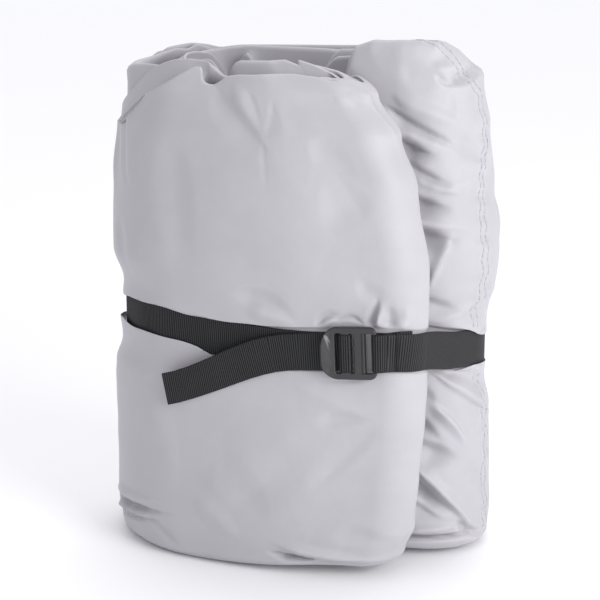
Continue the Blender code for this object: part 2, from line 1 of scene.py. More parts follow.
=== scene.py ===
"""A light grey boat cover, folded to a thick strip, wound into an upright bundle and cinched by a
black webbing strap with a ladder-lock buckle.

Metres, +Z up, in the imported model's own frame. The cloth, the webbing and the buckle are made on
the lines that the model's solids follow, with the folds, ribs and stitches that the solids leave
out. A place on the cloth is given by its distance along the wound strip and its height.
"""

from math import ceil, cos, hypot, pi, radians, sin, tan

import bmesh
import bpy
import numpy as np
from bpy.props import FloatProperty, FloatVectorProperty, PointerProperty
from mathutils import Matrix, Vector, noise
from mathutils.bvhtree import BVHTree


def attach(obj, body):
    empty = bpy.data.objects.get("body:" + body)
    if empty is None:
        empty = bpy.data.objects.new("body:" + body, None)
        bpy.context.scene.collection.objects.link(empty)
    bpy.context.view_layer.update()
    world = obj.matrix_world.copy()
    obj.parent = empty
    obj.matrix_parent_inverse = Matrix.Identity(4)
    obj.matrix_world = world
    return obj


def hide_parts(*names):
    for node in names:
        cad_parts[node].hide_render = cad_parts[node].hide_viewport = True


bl_info = {
    "name": "Strapped boat cover",
    "version": (1, 0, 0),
    "blender": (4, 5, 0),
    "location": "3D View > Sidebar > Boat cover",
    "description": "Builds a folded boat cover, its strap and its buckle around the packed model",
    "category": "Object",
}

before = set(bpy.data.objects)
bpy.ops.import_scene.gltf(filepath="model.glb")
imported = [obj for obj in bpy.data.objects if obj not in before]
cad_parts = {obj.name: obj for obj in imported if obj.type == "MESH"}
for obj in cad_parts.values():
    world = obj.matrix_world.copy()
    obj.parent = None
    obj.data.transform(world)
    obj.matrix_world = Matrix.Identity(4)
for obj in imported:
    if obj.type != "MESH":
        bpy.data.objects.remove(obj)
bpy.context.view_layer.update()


def linear(code):
    """A hex sRGB colour as linear red, green, blue and alpha."""
    made = []
    for i in (0, 2, 4):
        value = int(code[i:i + 2], 16) / 255
        made.append(value / 12.92 if value <= 0.04045 else ((value + 0.055) / 1.055) ** 2.4)
    return (*made, 1.0)


def in_metres(rows, plain=()):
    """A table in millimetres as an array in metres; its plain columns stay as they are."""
    table = np.array(rows, float)
    table[:, [column for column in range(table.shape[1]) if column not in plain]] /= 1000
    return table


# ---------------------------------------------------------------- the bundle's sizes
CENTRED = np.array((0.00538, 0.002205, 0.0))    # the wound line's own origin, in the model's frame
BUNDLE_HEIGHT = 0.352
HALF_WIDTH = 0.134
HALF_DEPTH = 0.080
PACK_THICK = 0.022      # one pack of folded cloth
PACK_GAP = 0.003        # the parting between two packs
TUCK_FRONT = 0.026      # the tucked end's front face lies this far in front of the middle
LEFT_CENTRE = -0.064    # x of the left bend's centre
FRONT_FOLD = 0.0890     # x of the fold that ends the front
TUCK_END = -0.066       # x where the tucked end stops
LOBE_DROP = (0.018, 0.042)  # between these the right lobe's top drops into the valley
FOOT = 0.007            # radius of the pack's lower edges
CREST = 1.045           # the plan's depth at the middle of its width, as a share of the table's,
CREST_FALL = 0.15       # and how much of that it loses at the full half width
# How much more of it the front loses towards its right fold and its left bend: the share, the x
# from which it does, and the width over which that comes in.
TURNED_BACK = ((0.065, 0.015, 0.095), (0.028, -0.020, -0.070))
DRAW_FROM = -0.030      # x from which the front is drawn back,
DRAW_OVER = 0.115       # and the width over which that comes in
FRONT_SIDE = -0.02      # the front's packs lie in front of this y

SEEN_STEP = 0.0014      # the spacing of the cloth's sections where the photograph shows them,
BACK_STEP = 0.0030      # where it doesn't,
INNER_STEP = 0.0042     # where only their rims show,
HIDDEN_STEP = 0.0120    # and where nothing of them shows
RUN_SECTIONS = 2        # a straight stretch has at least so many sections,
BEND_SECTIONS = 8       # and a bend so many
FACE_LEVELS = 194       # levels of the mesh up the outer face,
BACK_LEVELS = 6         # and down the inner face
HIDDEN_LEVELS = 8       # a hidden face keeps one level in so many,
UNSEEN_LEVELS = 2       # and so does the back
CREST_POINTS = 7        # points over each ply's crest,
PARTING_POINTS = 4      # and down and up each parting between them

# ---------------------------------------------------------------- the strap's and buckle's sizes
STRAP_LEVEL = 0.1554    # its middle's height at the bundle's axis
STRAP_RISE_X = -0.042   # its rise for each metre to the right
STRAP_RISE_Y = -0.119   # its rise for each metre to the back
# How far the front's webbing lies above that level, in millimetres right of the middle and up.
STRAP_SWAY = in_metres((
    (-134, 0), (-90, 0.4), (-74, 0.4), (-53, -1.6), (-31, -3), (3, -4), (30.5, -3), (45, -1.6),
    (65, 0.4), (87, 2.6), (113, 1.6), (140, -1.8),
))
SWAY_EASE = 0.010       # the sway is eased over this far to each side,
SWAY_BACK = 0.030       # and fades towards this y,
SWAY_FADE = 0.070       # over this far
LOBE_FALL = 0.0028      # how much lower the webbing lies on the lobe at the right,
LOBE_FALL_AT = np.array(((0.084, 0.024), (-0.056, 0.044)))  # from this x and y on, over these widths
REST_GAP = 0.0005       # between two pieces that touch
GROOVE_SHARE = 0.042    # how much of the plan the strap draws in
FOLD_STANDS = 0.55      # the share of that which the fold that ends the front withstands,
FOLD_STANDS_FROM = FRONT_FOLD - 0.019   # from this x on,
FOLD_STANDS_OVER = 0.040    # and the width over which that comes in
GROOVE_HALF = 0.0155    # half the height of the groove's flat floor
GROOVE_FADE = 0.026     # height over which the cloth swells out again
STRAP_STEP = 0.00036    # the spacing of the webbing's sections, four to a rib

BUCKLE_X = 0.0590       # the buckle's middle on the front
FLAT_BEHIND = 0.023     # half the length of the flat line that the buckle stands on
BUCKLE_LEFT = -0.0200   # its tab's end and its sewn end, along it from its middle
BUCKLE_RIGHT = 0.0163
BUCKLE_TALL = 0.0354
BUCKLE_THICK = 0.0032
BUCKLE_BACK = 0.0043    # its back stands this far off the cloth, over two layers of webbing
LOW_BAR = 0.0015        # how far the bars that webbing goes round lie below its face
TAB_EDGE = -0.011       # along the buckle, where the tilted tab begins
TAB_TILT = radians(24)
TAB_RADII = (0.0105, 0.0125)
END_RADIUS = 0.0050     # at the corners of the buckle's sewn end
SLOT_RADIUS = 0.0012
EDGE_ROUND = 0.0008     # the rounding of the frame's edges,
EDGE_STEPS = 4          # and its steps
SHARP_FROM = radians(32)    # edges that turn more are drawn sharp

# ---------------------------------------------------------------- the wound strip's tables
# At shares of the height, the plan's width to the left and right and its depth to the front and
# back, as shares of the full ones.
LEVELS = np.array((
    (0, 0.995, 0.915, 0.945, 0.94), (0.02, 1.025, 0.94, 0.975, 0.97),
    (0.08, 1.045, 0.95, 0.995, 0.985), (0.2, 1.04, 0.935, 1, 0.995), (0.32, 1.048, 0.93, 0.995, 0.99),
    (0.45, 1, 0.925, 0.985, 0.98), (0.6, 1.04, 0.96, 1.005, 0.99), (0.72, 1.028, 0.93, 1.005, 0.99),
    (0.84, 1.008, 0.9, 0.985, 0.975), (0.93, 0.98, 0.875, 0.945, 0.95), (1, 0.92, 0.82, 0.89, 0.91),
))

# At shares of the height, how far the fold that ends the front is drawn back, in millimetres.
FRONT_EDGE = in_metres((
    (0, 28), (0.05, 18), (0.1, 12), (0.2, 8), (0.32, 4), (0.45, 2), (0.6, 6), (0.76, 11), (0.85, 20),
    (0.92, 33), (1, 60),
), plain=(0,))

# How high the pack's foot lies at a place on the route, and how fully the fold that ends the
# front draws it back.
PLAIN = (0.0, 0.0)
FRONT = (0.0, 1.0)
FRONT_END = (0.008, 1.0)
LEFT_SIDE = (0.0, 0.5)
LOBE_SIDE = (0.002, 0.0)
LOBE_FRONT = (0.0055, 0.0)
LOBE_TUCK = (0.004, 0.0)

# Soft dents and swellings of the outer face, in millimetres: where along the route and how high
# they lie, half their length and breadth, their lean from level in degrees, and how far they
# stand out.
CREASES = in_metres((
    # the front, from its fold leftwards: two broad swellings, then soft shallow hollows
    (745, 262, 75, 60, 4, 3), (750, 78, 75, 55, -6, 2.2), (722, 85, 50, 20, -38, -1.2),
    (775, 62, 45, 18, -42, 1.6),
    # the left bend
    (870, 270, 34, 20, 70, -2.2), (905, 75, 36, 16, -30, -2.4),
    # the back
    (985, 245, 40, 18, 35, -3), (1040, 290, 40, 16, -25, -2.6), (1070, 215, 45, 15, 12, 2.6),
    (1060, 85, 50, 18, -20, -2.8), (1140, 250, 36, 16, 60, -2.6), (1120, 45, 36, 14, 25, 2.2),
    # the right lobe
    (1190, 300, 34, 15, -40, -2.8), (1205, 110, 34, 14, 35, -2.6), (1262, 270, 24, 20, 30, 1.6),
    (1245, 205, 24, 22, 70, 1.8), (1232, 262, 22, 26, 0, -2.6), (1288, 286, 14, 10, -60, -3.4),
    (1284, 248, 14, 9, -20, -3.4), (1281, 228, 14, 12, -70, -4), (1277, 100, 12, 14, 80, -3.4),
    (1272, 72, 14, 14, 60, -2.6), (1277, 50, 16, 12, 40, -4.6), (1240, 75, 30, 20, 60, 1.8),
), plain=(4,))

# Folds of the outer face, in millimetres, each a ridge or a furrow from one place to another: how
# far its middle bows to the left of the way it runs, half its breadth, how far it stands out, how
# crisp its crest is from 0 to 1, and how much broader its left flank is than its right one.
FOLDS = in_metres((
    # the front's top: the long fold down from the crevice, and the V beside it
    (792, 334, 734, 286, 2, 12, -2.4, 0.4, 0.3), (774, 334, 742, 302, 1, 9, 1.4, 0.3, 0),
    (758, 330, 744, 300, 0, 8, -0.7, 0.6, 0.3), (724, 326, 746, 298, -2, 9, -0.7, 0.5, -0.3),
    (744, 302, 743, 262, 0, 5, -0.4, 0.9, 0), (655, 334, 650, 318, 0, 6, -2.6, 0.6, 0.3),
    (662, 326, 650, 322, 0, 5, 1, 0.5, 0), (644, 337, 640.5, 288, 0, 3.4, -3.4, 0.8, 0),
    (647.8, 334, 644.2, 292, 0, 2.4, 1.2, 0.9, 0),
    # soft hollows across the front
    (660, 262, 700, 240, 6, 20, -1.8, 0, 0.2), (700, 300, 668, 270, -4, 16, -1.2, 0.1, 0),
    (815, 300, 800, 205, 4, 18, -1.8, 0.1, 0),
    # just above the strap and the buckle
    (775, 193.5, 722, 181, -4.5, 8, -2.6, 0.6, -0.3), (765, 186, 722, 177, -3, 7, 2, 0.2, 0),
    (689, 185.5, 711, 171, 5.2, 3.6, -2.6, 0.7, 0.3), (690, 181.5, 706, 173, 3, 3.6, 1.6, 0.3, 0),
    (672, 178.5, 696, 178, 5.6, 3, -2, 0.8, 0.2), (664, 200, 671, 166, -1, 4.6, -4.4, 0.7, 0.3),
    (661.5, 195, 664, 166, 0, 4.2, 3, 0.4, 0), (658, 197, 657, 166, 0, 3.6, -3.8, 0.8, 0.3),
    (651, 196, 657, 166, -0.8, 3.2, 3.4, 0.8, 0), (680, 212, 652, 196, 4, 9, -1.4, 0.3, 0),
    (823, 184, 815, 173, 0, 3.5, -2.6, 0.8, 0),
    # just below the strap: one thin crisp line, then the soft facet of the lower front
    (656, 150.5, 718, 141.5, -5, 2.2, -1.2, 0.9, 0), (734, 140, 664, 115, -1.6, 9, 1.4, 0.5, 0),
    (710, 111, 664, 114, -2.6, 7, -1.8, 0.4, 0), (660, 115, 714, 54, 1.5, 14, -1.4, 0.2, 0.3),
    (830, 120, 812, 60, 4, 16, 1.4, 0.1, 0),
    # long soft diagonals of the lower front
    (780, 84, 740, 34, 3, 18, -1.2, 0.1, 0), (800, 52, 765, 20, 0, 12, 1.2, 0.2, 0),
    # the flap at the front's lower edge
    (748, 17.6, 636, 5, 0, 4, -12, 0.9, 0.4), (742, 24.5, 636, 12.5, 1, 5.6, 4.4, 0.6, 0),
    (690, 32, 645, 26, -4, 9, -1.6, 0.3, 0),
    # the crumple low on the left
    (884, 24, 810, 33, 0, 3.6, -6.4, 0.9, 0.3), (882, 19, 822, 27.5, 0, 3.4, 3.8, 0.85, 0),
    (882, 11, 818, 26, 0, 2.8, -4.4, 0.9, 0), (884, 31, 814, 40, 1, 5, 3, 0.6, 0),
    (856, 30, 838, 22, 0, 2.6, 2.6, 0.9, 0), (834, 28, 812, 6, 0, 6, -2.2, 0.6, 0),
    # the left side, from top to strap
    (872, 326, 842, 250, 5, 9, -2.6, 0.5, 0.2), (890, 322, 872, 240, 3, 10, 1.8, 0.3, 0),
    (858, 236, 850, 190, 2, 10, -1.6, 0.3, 0),
    # the right lobe, above the strap: the long shadowed fold, then pockets at its left
    (1303, 316.5, 1252, 285, 1, 7, -7.8, 0.8, 0.5), (1297, 324, 1250, 302, 2, 8.5, 3, 0.3, 0),
    (1262, 300, 1236, 272, -2, 8.5, -1.8, 0.3, 0.3), (1294, 301, 1256, 286, 1, 5, 3, 0.7, 0),
    (1300, 295, 1268, 282, 1, 9.5, -9, 0.7, 0.6), (1292, 280, 1262, 262, 1, 8, -6.6, 0.6, 0.5),
    (1290, 272, 1252, 256, 2, 4.4, 3.6, 0.8, 0), (1272, 259, 1236, 266, -1, 6, 2, 0.6, 0),
    (1298, 258, 1260, 246, 1, 9.5, -9.2, 0.7, 0.5), (1294, 242, 1250, 234, 2, 4.4, 3.2, 0.7, 0),
    (1298, 237, 1258, 225, 2, 10.5, -9.2, 0.7, 0.5), (1256, 274, 1240, 252, 2, 8, -1.4, 0.3, 0),
    (1262, 234, 1280, 183, 2, 4.2, 4.2, 0.85, 0.3), (1292, 220, 1277, 186, 0, 9, -5.2, 0.3, 0),
    (1284, 188, 1252, 176, 1, 8, -6, 0.6, 0.4), (1266, 170, 1218, 198, 2, 6, 2.2, 0.7, 0),
    (1260, 165, 1222, 188, 1, 6, -2.4, 0.6, 0),
    # its dark hollow and creases near the top
    (1266, 327, 1212, 339, -1, 6, -8, 0.6, -0.2), (1268, 336, 1257, 328, 1, 3, -3, 0.9, 0.3),
    (1272, 340, 1246, 342, 2, 5, 2.6, 0.4, 0), (1258, 326, 1257, 300, 1, 2.8, -1.2, 0.9, 0.2),
    (1290, 342, 1262, 330, 3, 11, -1.6, 0.2, 0),
    # below the strap
    (1275, 141, 1214, 90, 3, 5, 5, 0.85, -0.4), (1270, 144, 1222, 112, 2, 6.5, -4.4, 0.4, 0),
    (1284, 130, 1270, 108, 0, 7.5, -4, 0.3, 0), (1278, 118, 1248, 76, -3, 4.2, 5, 0.85, 0.5),
    (1290, 112, 1264, 84, 2, 8.5, -7.2, 0.5, 0.3), (1290, 88, 1254, 70, 1, 12.5, -7, 0.4, 0.3),
    (1289, 76, 1238, 6, -1, 5, 5.8, 0.85, -0.4), (1294, 66, 1256, 30, 1, 9, -10, 0.6, 0.4),
    (1296, 48, 1264, 26, 1, 8, -6.6, 0.5, 0.3), (1260, 27, 1234, 6, -1, 5, -5, 0.6, 0.2),
    (1294, 20, 1250, 23.5, 0, 4.2, 3.4, 0.5, 0), (1312, 15.2, 1230, 14.8, 0, 2.8, -15, 0.9, 0),
    (1252, 60, 1224, 40, -2, 8, -2.2, 0.3, 0),
    # the back, which the photograph doesn't show: the same cloth's folds, drawn in by the strap
    (960, 200, 944, 172, 1, 6, -3, 0.5, 0.2), (1002, 208, 1010, 172, 2, 7, -3.4, 0.5, 0),
    (1030, 196, 1024, 172, 0, 5, 2.6, 0.5, 0), (1060, 212, 1048, 172, 2, 6.5, -3.4, 0.6, 0.2),
    (1098, 204, 1106, 172, 1, 6, -3, 0.5, 0), (1140, 206, 1132, 172, 1, 6.5, 3, 0.5, 0),
    (975, 132, 992, 92, 3, 8, -3.2, 0.4, 0.2), (1036, 132, 1022, 86, 2, 8, -3, 0.4, 0),
    (1080, 132, 1096, 96, 2, 7, 2.6, 0.5, 0), (1120, 132, 1104, 80, 2, 8.5, -3.2, 0.4, 0),
    (1170, 132, 1180, 88, 2, 7, -3, 0.5, 0.2), (940, 300, 990, 262, 4, 11, -3.2, 0.4, 0.2),
    (1010, 250, 1070, 272, 4, 10, 2.8, 0.5, 0), (1090, 300, 1120, 240, 4, 11, -3.4, 0.4, 0.3),
    (1150, 318, 1176, 258, 3, 9, 3, 0.6, 0), (930, 60, 980, 30, 4, 10, -3.2, 0.4, 0.2),
    (1010, 20, 1080, 52, 4, 9, 2.6, 0.6, 0), (1100, 62, 1160, 26, 4, 9, -3.4, 0.5, 0.2),
    (1180, 280, 1206, 214, 3, 8, -3.6, 0.5, 0.2), (1210, 250, 1196, 196, 2, 6, 3, 0.6, 0),
    (1196, 78, 1216, 30, 3, 7, -3.4, 0.5, 0),
), plain=(7, 8))

# The rim, where the pack's folded plies show as three crests with partings between them. At a
# distance along the strip, in millimetres: for each crest how far out of the pack's middle it
# lies, its height and its radius, and for each parting how far out it lies and its height.
RIM = in_metres((
    # the tucked end and the inner pack's lobe, hidden but for their tops
    (0, 7.5, 308.5, 3, 4, 302, 0, 311, 3.3, -4, 302, -7.5, 308.5, 3),
    (62, 7.5, 308.5, 3, 4, 302, 0, 311, 3.3, -4, 302, -7.5, 308.5, 3),
    (80, 7, 335, 3, 3.5, 330, 0, 338, 3.5, -4, 331, -7.5, 334, 3),
    (90, 7, 342, 3.5, 3.5, 336, 0, 346, 3.5, -4, 338, -7.5, 342, 3),
    (130, 7.5, 344, 3, 3.5, 341, 0, 348, 3.5, -4, 342, -7.5, 345, 3),
    (230, 7.5, 343, 3, 3.5, 340, 0, 346, 3.5, -4, 341, -7.5, 344, 3),
    # the inner pack's back, over the valley: its near crest falls in folds
    (252, 8, 334, 3, 5, 335, 0.5, 341, 3, -4, 334, -7.5, 340, 2.5),
    (268, 8, 328, 3, 5, 331, 0.5, 341, 3, -4, 334, -7.5, 339, 2.5),
    (284, 8, 324, 3, 5, 328, 0.5, 341.5, 3, -4, 334, -7.5, 339, 2.5),
    (300, 8, 322, 3, 5, 328, 0.5, 341.5, 3, -4, 334, -7.5, 338, 2.5),
    (322, 8, 322, 3, 5, 328, 0.5, 341.5, 3, -4, 334, -7.5, 338, 2.5),
    (331, 8.5, 328, 2.6, 6, 332, 0.5, 341.5, 2.6, -4, 334, -7.5, 338, 2.5),
    (339, 9.5, 338.5, 1.6, 6.5, 337, 0.5, 341.5, 2.6, -4, 334, -7.5, 338, 2.5),
    (344, 8, 332, 2, 5.5, 331, 0.5, 341, 2.4, -4, 334, -7.5, 338, 2.5),
    (354, 7, 318, 2, 4.5, 316, 0.5, 340, 2.2, -4, 334, -7.5, 338, 2.5),
    (360, 7.6, 324, 1.6, 4.5, 319, -0.5, 339, 2.2, -4.5, 334, -7.5, 338, 2.2),
    (366, 7.8, 331.5, 1.4, 4.5, 325, -0.5, 338.5, 2.2, -4.5, 334, -7.5, 338, 2.2),
    (376, 7.8, 337.5, 1.4, 4.5, 331, -0.5, 338, 2.2, -4.5, 332, -7.5, 336.5, 2.2),
    (395, 8, 340, 1.4, 5, 334, -0.5, 336.5, 2.2, -4.5, 328, -7.5, 331, 2.2),
    (412, 8, 340.5, 1.4, 5, 333, -0.5, 332, 2.4, -4.5, 324, -7.5, 327, 2.2),
    (430, 8, 339.5, 1.4, 4.5, 326, 0, 329, 2.6, -4, 322, -7.5, 327, 2),
    (444, 7.8, 334, 1.6, 4.5, 322, 0, 329, 2.6, -4, 324, -7.5, 334, 1.8),
    # the inner pack's front: the crest that curls down into the crevice, and the panel beside it
    (454, 7.5, 328, 2.5, 4.5, 320, 0, 330, 2.6, -4, 328, -7.5, 340, 1.6),
    (463, 7.5, 328, 2.5, 4.5, 320, 0, 331, 2.6, -4, 328, -7.8, 341.5, 1.5),
    (470.5, 7.5, 328, 2.5, 4.5, 320, 0, 331, 2.6, -4, 328, -7.8, 343.5, 1.3),
    (474.5, 7.5, 328, 2.5, 4.5, 320, 0, 330, 2.6, -4, 328, -7.8, 342, 1.3),
    (483, 7.5, 324, 2.5, 4.5, 316, 0, 325, 2.6, -4, 324, -7.8, 336, 1.3),
    (490.5, 7.5, 317, 2.5, 4.5, 310, 0, 317, 2.6, -4, 312, -7.5, 328.5, 1.4),
    (495.5, 7.5, 317, 2.5, 4.5, 310, 0, 318, 2.6, -4, 314, -7.3, 329.5, 1.6),
    (499, 7.5, 322, 2.5, 4.5, 316, 0, 330, 2.6, -4, 328, -6.8, 337, 2.4),
    (503, 7.5, 328, 2.5, 4.5, 322, 0, 336, 2.6, -4, 334, -6.8, 341.5, 2.8),
    (508.5, 7.5, 331, 2.5, 4.5, 324, 0, 338, 2.6, -4, 336, -6.8, 343.5, 2.8),
    (530, 7.5, 333, 2.5, 4.5, 324, 0, 338, 2.6, -4, 336, -7, 344, 2.6),
    (578, 7.5, 333, 2.5, 4.5, 324, 0, 339, 2.6, -4, 337, -7.4, 344.5, 2.2),
    (598, 7.5, 333, 2.5, 4.5, 324, 0, 340, 2.6, -4, 337, -7.8, 345, 1.8),
    (606, 7.5, 333, 2.5, 4.5, 324, 0, 341, 2.6, -4.5, 336, -8, 341.5, 1.6),
    (611, 7.5, 333, 2.5, 4.5, 324, 0, 342, 2.6, -4.5, 336, -7.6, 345.5, 1.6),
    (618, 7.5, 333, 2.5, 4.5, 324, 0, 341, 2.6, -4.5, 334, -7.6, 343, 1.6),
    # the fold that ends the front
    (624, 7.5, 334, 2.5, 4.5, 332, -0.8, 339.5, 3.2, -4.6, 336, -7.4, 339, 1.8),
    (634, 8, 336, 2, 5.2, 333, -1.4, 338, 3.6, -5.6, 336, -8, 337, 1.6),
    (642, 9.2, 332.5, 1.3, 6.8, 329, -1.2, 335.5, 3.8, -5.8, 334, -8.2, 334.5, 1.6),
    (645.5, 9.4, 335.5, 1.3, 6.8, 330, -1.2, 335.5, 3.8, -5.8, 334, -8.2, 334, 1.6),
    (652, 9.4, 336.8, 1.2, 6.8, 330, -1.2, 336, 3.8, -5.8, 334, -8.2, 334, 1.6),
    (655.5, 9.2, 334.3, 1.2, 6.6, 328, -1.2, 336.5, 3.8, -5.8, 334, -8.2, 334, 1.6),
    (659, 9.4, 338, 1.2, 6.5, 329, -1, 337, 3.6, -5.6, 333, -8, 334, 1.8),
    # the outer pack's front: its crisp outer rim, the mouth, and the rim's fall to the left
    (676, 9.4, 339.5, 1.2, 6, 330, 0.5, 335.5, 2.8, -4, 328, -7, 334, 2.4),
    (731, 9.4, 339, 1.2, 6, 330, 0.5, 335, 2.6, -4, 326, -7, 334, 2.4),
    (766, 9.4, 337.8, 1.2, 6, 328, 0.5, 333, 2.6, -4, 324, -7, 331, 2.4),
    (777, 9.2, 336.3, 1.2, 6.4, 330, 3.6, 334.8, 1, 0, 322, -7.5, 326, 2),
    (782, 9, 333.3, 1.2, 2, 320, 4.2, 335.8, 1.4, 0, 320, -8, 325, 1.6),
    (788, 9, 330.3, 1.3, -24, 296, 4.2, 338, 1.6, 0, 320, -8.5, 327, 1.4),
    (794, 9.2, 330.6, 1.3, -26, 292, 3.8, 340.3, 1.6, -2, 324, -9, 331, 1.2),
    (798.5, 9.4, 333, 1.2, -22, 298, 3.8, 341.8, 1.4, -3, 330, -9.2, 334, 1.2),
    (802, 9.6, 340.8, 0.9, 3, 326, 2.4, 343, 0.9, -4.4, 332, -9.2, 335, 1.2),
    (808.5, 9.8, 340.8, 0.9, 6, 328, -2.6, 343.4, 1.1, -6.4, 332, -9.2, 335, 1.2),
    (814.5, 9.9, 336.5, 0.9, 6, 322, -5, 343.7, 1.2, -7.4, 330, -9.2, 336, 1.2),
    (821, 9.9, 330.5, 0.9, 6, 315, -5, 344, 1.2, -7.4, 330, -9.2, 336.5, 1.2),
    (830.5, 9.9, 324.5, 0.9, 6, 309, -5, 343, 1.2, -7.4, 330, -9.2, 337, 1.2),
    (840, 9.9, 319.8, 0.9, 6, 305, -4.6, 340, 1.2, -7.2, 331, -9.2, 337, 1.2),
    (848, 9.9, 313.5, 0.9, 6, 299, -3.4, 335, 1.3, -6.8, 330, -9, 337, 1.2),
    (856, 9.9, 307.5, 0.9, 6.2, 293, -1.5, 328.5, 1.4, -5.4, 326, -8.4, 336.8, 1.4),
    (864, 9.9, 302.5, 0.9, 6.4, 289, 1, 322.5, 1.4, -3.4, 321, -7, 336.5, 2),
    (872, 9.9, 299, 0.9, 6.8, 287, 3.6, 316.5, 1.4, -0.2, 313, -3.6, 336, 3),
    (880, 9.9, 296.5, 0.9, 7, 286, 5.4, 311, 1.4, 3.2, 310, 0.2, 335, 4.4),
    (885, 9.9, 295, 1, 7, 286, 5.8, 308, 1.5, 3.8, 309, 1.4, 334, 5),
    (892, 9.6, 296, 1.2, 6.8, 288, 5.8, 307, 1.6, 3.8, 309, 1.6, 334, 5.2),
    # the left bend and the back
    (902, 9, 302, 1.8, 5.8, 296, 4.4, 312, 2, 2.8, 314, 0.2, 335, 5.4),
    (920, 7, 320, 3.4, 3.6, 318, 0.6, 326, 2.6, -2, 324, -5.4, 336.5, 3.6),
    (942, 6, 336.5, 4, 2.6, 334, -0.5, 340, 2.6, -4.5, 331, -7.5, 339.5, 2),
    (956, 6.5, 336.5, 3.8, 2.6, 333, -1, 341, 2.2, -5, 332, -8, 338, 1.8),
    (964, 6.5, 337, 3.8, 2.6, 333, -1, 341.5, 2.2, -5, 334, -8, 341.5, 1.6),
    (978, 6.5, 336, 3.8, 2.6, 330, -0.5, 339.5, 2.6, -4.5, 330, -7.5, 337.5, 2),
    (987.7, 6.5, 334, 3.8, 2.6, 328, -0.5, 337, 2.6, -4.5, 330, -7.5, 335, 2),
    (1002, 6.5, 335, 3.8, 2.6, 330, 0, 338.5, 2.8, -4, 331, -7.5, 336.5, 2.4),
    (1033, 6.5, 336.5, 3.8, 2.6, 331, 0, 339.5, 2.8, -4, 332, -7.5, 337, 2.4),
    (1064, 6.5, 338, 3.6, 2.6, 332, 0, 340.5, 2.8, -4, 333, -7.5, 338, 2.4),
    (1120, 6.5, 340, 3.6, 2.6, 334, 0, 342.5, 2.8, -4, 335, -7.5, 340, 2.4),
    (1170, 6, 338, 4.4, 2.6, 335, -0.5, 341.5, 2.8, -4, 335, -7.5, 340, 2.4),
    # the right lobe, one rounded fold
    (1205, 4, 334.5, 7, 0, 333, -3.5, 337, 2.6, -6, 334, -8.4, 337, 1.6),
    (1228, 3, 341.5, 8, -1.5, 340, -5, 344.5, 2, -7, 342, -8.8, 344.5, 1.4),
    (1240, 3, 350.5, 8, -1.5, 348, -5, 352.5, 2, -7, 350, -8.8, 352.5, 1.4),
    (1252, 3, 355, 8, -1.8, 352, -5, 355.5, 1.8, -7, 351, -8.8, 354, 1.4),
    (1270, 3, 357, 8, -2.2, 354, -5.2, 356.5, 1.6, -7.2, 351, -9, 354, 1.2),
    (1308, 3, 356.5, 8, -2.4, 353, -5.2, 355, 1.6, -7.2, 351, -9, 354, 1.2),
    (1324, 3.5, 352, 7.4, -2, 348, -5, 349, 1.6, -7.2, 345, -9, 347, 1.2),
    (1330, 4, 341, 6, -1.6, 337, -5, 338, 1.6, -7.2, 334, -9, 336, 1.2),
    (1338, 7.5, 318, 3, 4, 312, 0, 318, 3.3, -4, 312, -7.5, 316, 3),
    (1348, 7.5, 308.5, 3, 4, 302, 0, 311, 3.3, -4, 302, -7.5, 308.5, 3),
    (1440, 7.5, 308.5, 3, 4, 302, 0, 311, 3.3, -4, 302, -7.5, 308.5, 3),
))
RIM_EASE = 0.0014       # the rim's table is eased over this far to each side
SHOULDER = 0.024        # over this height the face leans in to its rim
PINCH = np.array((-0.0375, -0.0510))    # in plan, where the front's plies are drawn together,
PINCH_RADIUS = 0.024    # within about this radius,
PINCH_FROM = 0.300      # above this height,
PINCH_OVER = 0.045      # fully so over this rise,
PINCH_SHARE = 0.62      # and by this share of the way

# The double seam down the right lobe, in millimetres: distances along the strip and heights up
# its face and on over the rim.
SEAM = in_metres((
    (1276, 364), (1267, 360), (1260, 354), (1254.5, 347), (1249, 337), (1242, 329), (1233, 320),
    (1232, 300), (1233.5, 282.5), (1238, 266.5), (1240, 250), (1242.5, 230), (1243.5, 210),
    (1242, 188.5), (1239, 150), (1235.5, 112), (1232.5, 85.5), (1232, 43.5), (1231.5, 22.5),
    (1228, 9.5),
))


# ---------------------------------------------------------------- numbers
def smooth(share):
    """Eases a share from 0 to 1."""
    share = np.clip(share, 0.0, 1.0)
    return share * share * (3 - 2 * share)


def at_height(table, column, z):
    """One column of a table of shares of the height, eased between its rows."""
    shares, values = table[:, 0], table[:, column]
    share = np.clip(z / BUNDLE_HEIGHT, 0.0, 1.0)
    low = np.clip(np.searchsorted(shares, share, side="right") - 1, 0, len(table) - 2)
    onward = smooth((share - shares[low]) / (shares[low + 1] - shares[low]))
    return values[low] + (values[low + 1] - values[low]) * onward


def strap_height(x, y):
    """The height of the strap's middle at a place in plan."""
    eased = sum(np.interp(x + way * SWAY_EASE, *STRAP_SWAY.T) for way in (-1, -0.5, 0, 0.5, 1)) / 5
    (x_from, x_over), (y_from, y_over) = LOBE_FALL_AT
    fall = LOBE_FALL * smooth((x - x_from) / x_over) * smooth((y - y_from) / y_over)
    sway = eased * smooth((SWAY_BACK - y) / SWAY_FADE) - fall
    return STRAP_LEVEL + STRAP_RISE_X * x + STRAP_RISE_Y * y + sway


def groove(x, y, z):
    """1 on the floor of the strap's groove, easing to 0 above and below it."""
    return 1 - smooth((np.abs(z - strap_height(x, y)) - GROOVE_HALF) / GROOVE_FADE)


